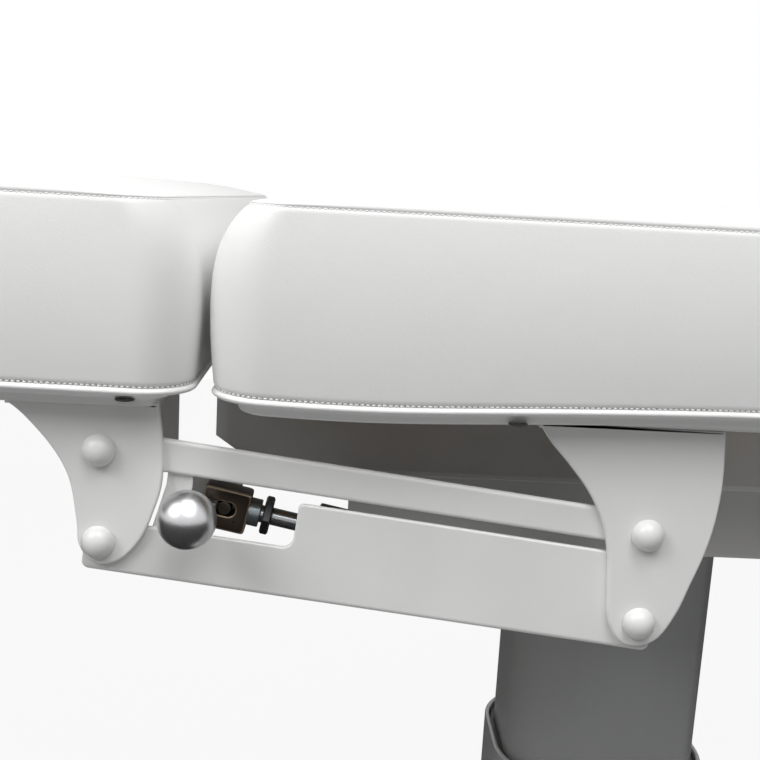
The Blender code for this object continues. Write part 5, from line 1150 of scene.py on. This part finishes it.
def slotted_block(name, near, far):
    """The head's block between two depths, with a slot through it.

    It is one closed band of rings: up the outer side, over the front face, through the slot, and back
    over the rear face. Each ring has as many points as the others, matched by their angle from the
    middle. The outer rings follow |x / a|^p + |z / b|^p = 1 with a high power p. The edge attribute
    is each ring's share of the tan painted highlight: most at the slot's rim and at the middle of the front
    edge.
    """
    angle = np.linspace(0.0, 2 * math.pi, HEAD_POINTS, endpoint=False)
    unit = np.column_stack([np.cos(angle), np.sin(angle)])
    centre = np.array((HEAD_FACE + HEAD_REACH, -HEAD_SINK))

    def outer_ring(inset):
        half = np.array((HEAD_REACH - inset, HEAD_TOP + HEAD_SINK - inset))
        size = np.sum(np.abs(unit / half) ** HEAD_POWER, axis=1) ** (-1 / HEAD_POWER)
        return centre + unit * size[:, None]

    def slot_ring(grow):
        run = np.column_stack([np.clip(unit[:, 0] * SLOT_TURN, -1, 1) * SLOT_RUN, 0.0 * angle])
        return np.array((SPRING_LENGTH, 0.0)) + unit * (SLOT_RADIUS + grow) + run

    quarter = np.linspace(0.0, math.pi / 2, EDGE_STEPS)
    turned = [(math.sin(a), math.cos(a)) for a in quarter]
    r, rim = HEAD_EDGE, SLOT_EDGE
    # The third value of each ring is its share of the tan painted highlight.
    rings = [(outer_ring(r * (1 - c)), far - r * (1 - s), 0.2) for s, c in turned[::-1]]
    rings += [(outer_ring(r * (1 - s)), near + r * (1 - c), 2 * s * c) for s, c in turned[::-1]]
    rings += [(outer_ring(r + HIGHLIGHT_OUT), near, 0.0), (slot_ring(rim + HIGHLIGHT_IN), near, 0.1)]
    rings += [(slot_ring(rim * (1 - s)), near + rim * (1 - c), 1.0) for s, c in turned]
    rings += [(slot_ring(0.0), near + HIGHLIGHT_DEEP, 0.0), (slot_ring(0.0), far, 0.0)]
    points = []
    for ring, y, _ in rings:
        flat = along_spring(ring)
        points.append(np.column_stack([flat[:, 0], np.full(len(flat), y), flat[:, 1]]))
    faces = grid_faces(len(rings), len(angle), wrap_rows=True)
    piece = new_piece(name, np.concatenate(points), faces, bronze, "gas_piston", sharp=60)
    highlight_values = piece.data.attributes.new("painted_edge_highlight", "FLOAT", "POINT")
    highlight_values.data.foreach_set("value", np.repeat([mask for _, _, mask in rings], len(angle)))
    return piece


head_block = slotted_block("head_block", SPRING_Y - HEAD_HALF, SPRING_Y + HEAD_HALF)
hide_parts("release_head")
collar_profile = turned_bar(COLLAR_RADIUS, *COLLAR, COLLAR_BORE)
collar = spring_lathe("head_collar", round_corners(collar_profile, COLLAR_ROUND), zinc, "gas_piston")


# The lug is a steel plate behind the release head, which carries the cross pin. A shelf welded to the
# upper bar's lower edge holds it, and a short web stands under the bar, behind the ball.
LUG_GAP = 0.0006
LUG_FRONT = SPRING_Y + HEAD_HALF + LUG_GAP
LUG_SHEET = 0.004
LUG_EDGE = 0.0008
LUG_RADIUS = 0.0075
LUG_SLANT = 0.0053
LUG_REACH = 0.0325
LUG_FOOT = BAR_LOW - 0.0180
LUG_TOP = BAR_LOW + 0.002
WEB_GAP = 0.0031
WEB_SHEET = 0.0025
WEB_LOW_EDGE = [(0.2495, -0.046), (0.2689, -0.046), (0.2649, -0.0244), (0.2634, -0.0156)]
SHELF = (BAR_LOW + 0.0006, BAR_LOW + 0.0026)
SHELF_GAP = 0.002
SHELF_EDGE = 0.0003
PIN_BROWN = (0.09, 0.075, 0.06)
PIN_RADIUS = 0.0039
PIN_ENDS = (-0.0069, 0.0095)
PIN_ROUND = 0.0006
pin_brown = textured("pin_brown", PIN_BROWN, 0.35, grain=600.0, depth=0.0001, spread=0.08, metallic=0.7)


def bar_plate(name, flat, face, depth, edge, back_edge):
    """A plate under the upper bar. Its outline is (along, above) points from the bar's pivot at the back."""
    outline = anticlockwise(along_link(UPPER_PIVOT, flat))
    plate = rounded_plate(name, outline, face, depth, edge, link_paint, "upper_link", back_edge)


pin_run = (SPRING_PIN[0] - UPPER_PIVOT[0], SPRING_PIN[2] - UPPER_PIVOT[1])
pin_along = -pin_run[0] * math.cos(LINK_SLOPE) + pin_run[1] * math.sin(LINK_SLOPE)
pin_above = pin_run[0] * math.sin(LINK_SLOPE) + pin_run[1] * math.cos(LINK_SLOPE)
lug_start, lug_end = pin_along - LUG_RADIUS, pin_along + LUG_REACH
lug_flat = np.vstack([
    arc_points((pin_along, pin_above), LUG_RADIUS, 2, 3.5, 20)[:-1],
    straight((pin_along + LUG_SLANT, pin_above - LUG_SLANT), (lug_end, LUG_FOOT), 10),
    straight((lug_end, LUG_FOOT), (lug_end, LUG_TOP), 6),
    straight((lug_end, LUG_TOP), (lug_start, LUG_TOP), 14),
    straight((lug_start, LUG_TOP), (lug_start, pin_above), 6),
])
bar_plate("spring_lug", lug_flat, LUG_FRONT, LUG_SHEET, LUG_EDGE, BACK_EDGE)
web_flat = [(WEB_LOW_EDGE[0][0], LUG_TOP), *WEB_LOW_EDGE, (WEB_LOW_EDGE[-1][0], LUG_TOP)]
bar_plate("lug_web", web_flat, WEB_GAP - LINK_FACE, WEB_SHEET, LUG_EDGE, BACK_EDGE)
shelf_flat = rectangle(lug_start, SHELF[0], lug_end, SHELF[1])
bar_plate("lug_shelf", shelf_flat, SHELF_GAP - LINK_FACE, LINK_FACE + LUG_FRONT, SHELF_EDGE, SHELF_EDGE)
pin_profile = round_corners(turned_bar(PIN_RADIUS, *PIN_ENDS), PIN_ROUND)
cross_pin = lathe("spring_cross_pin", pin_profile, SPRING_PIN, (0.0, 1.0, 0.0), pin_brown, "upper_link")


# The release lever turns on a post, which a small ledge on the head carries. It is a turned eye with a
# short stem, and ends in a satin chrome ball that stands out over the lower link's window.
CHROME = (0.60, 0.60, 0.61)
BALL_RADIUS = 0.0155
BALL_PLACE = np.array((-0.634, -0.3405, 0.733))
BALL_TURNS = 96
POST_RUN = SPRING_LENGTH + 0.008
POST_Y = -0.301
POST_RADIUS = 0.002
POST_ENDS = (-0.006, 0.0047)
POST_ROUND = 0.0004
EYE_BORE = 0.0023
EYE_SIDE = 0.0042
EYE_ENDS = (-0.0047, 0.0044)
STEM_RADIUS = 0.0042
STEM_START = 0.003
STEM_SINK = 0.004
LEDGE_TOP = -0.0050
LEDGE_SHEET = 0.0035
LEDGE_HALF = 0.0045
LEDGE_FRONT = -0.3055
LEDGE_SINK = 0.0006
LEDGE_EDGE = 0.0004
post_place = SPRING_FOOT + SPRING_LINE * POST_RUN
post_place[1] = POST_Y
ball_chrome = textured("ball_chrome", CHROME, 0.30, grain=900.0, depth=0.00003, spread=0.05, metallic=1.0)
eye_profile = turned_bar(EYE_SIDE, *EYE_ENDS, EYE_BORE)
eye_profile = round_corners(eye_profile + eye_profile[:1], ROD_ROUND)
lever_eye = lathe("lever_eye", eye_profile, post_place, SPRING_UP, ball_chrome, "lever")
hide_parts("release_lever")
reach = BALL_PLACE - post_place
stem_profile = turned_bar(STEM_RADIUS, STEM_START, float(np.linalg.norm(reach)) - STEM_SINK)
stem = lathe("lever_stem", stem_profile, post_place, reach, ball_chrome, "lever")
tilt = np.linspace(0.0, math.pi, BALL_TURNS // 2 + 1)
ball_profile = np.column_stack([BALL_RADIUS * np.sin(tilt), BALL_RADIUS * np.cos(tilt)])
ball = lathe("lever_ball", ball_profile, BALL_PLACE, reach, ball_chrome, "lever", turns=BALL_TURNS, sharp=60)
ledge_flat = rectangle(POST_RUN - LEDGE_HALF, LEDGE_TOP - LEDGE_SHEET, POST_RUN + LEDGE_HALF, LEDGE_TOP)
ledge_depth = SPRING_Y - HEAD_HALF + LEDGE_SINK - LEDGE_FRONT
ledge_outline = anticlockwise(along_spring(ledge_flat))
ledge = rounded_plate("lever_shelf", ledge_outline, LEDGE_FRONT, ledge_depth, LEDGE_EDGE, bronze,
                      "gas_piston", LEDGE_EDGE)
post_profile = round_corners(turned_bar(POST_RADIUS, *POST_ENDS), POST_ROUND)
post = lathe("lever_post", post_profile, post_place, SPRING_UP, rod_steel, "gas_piston")
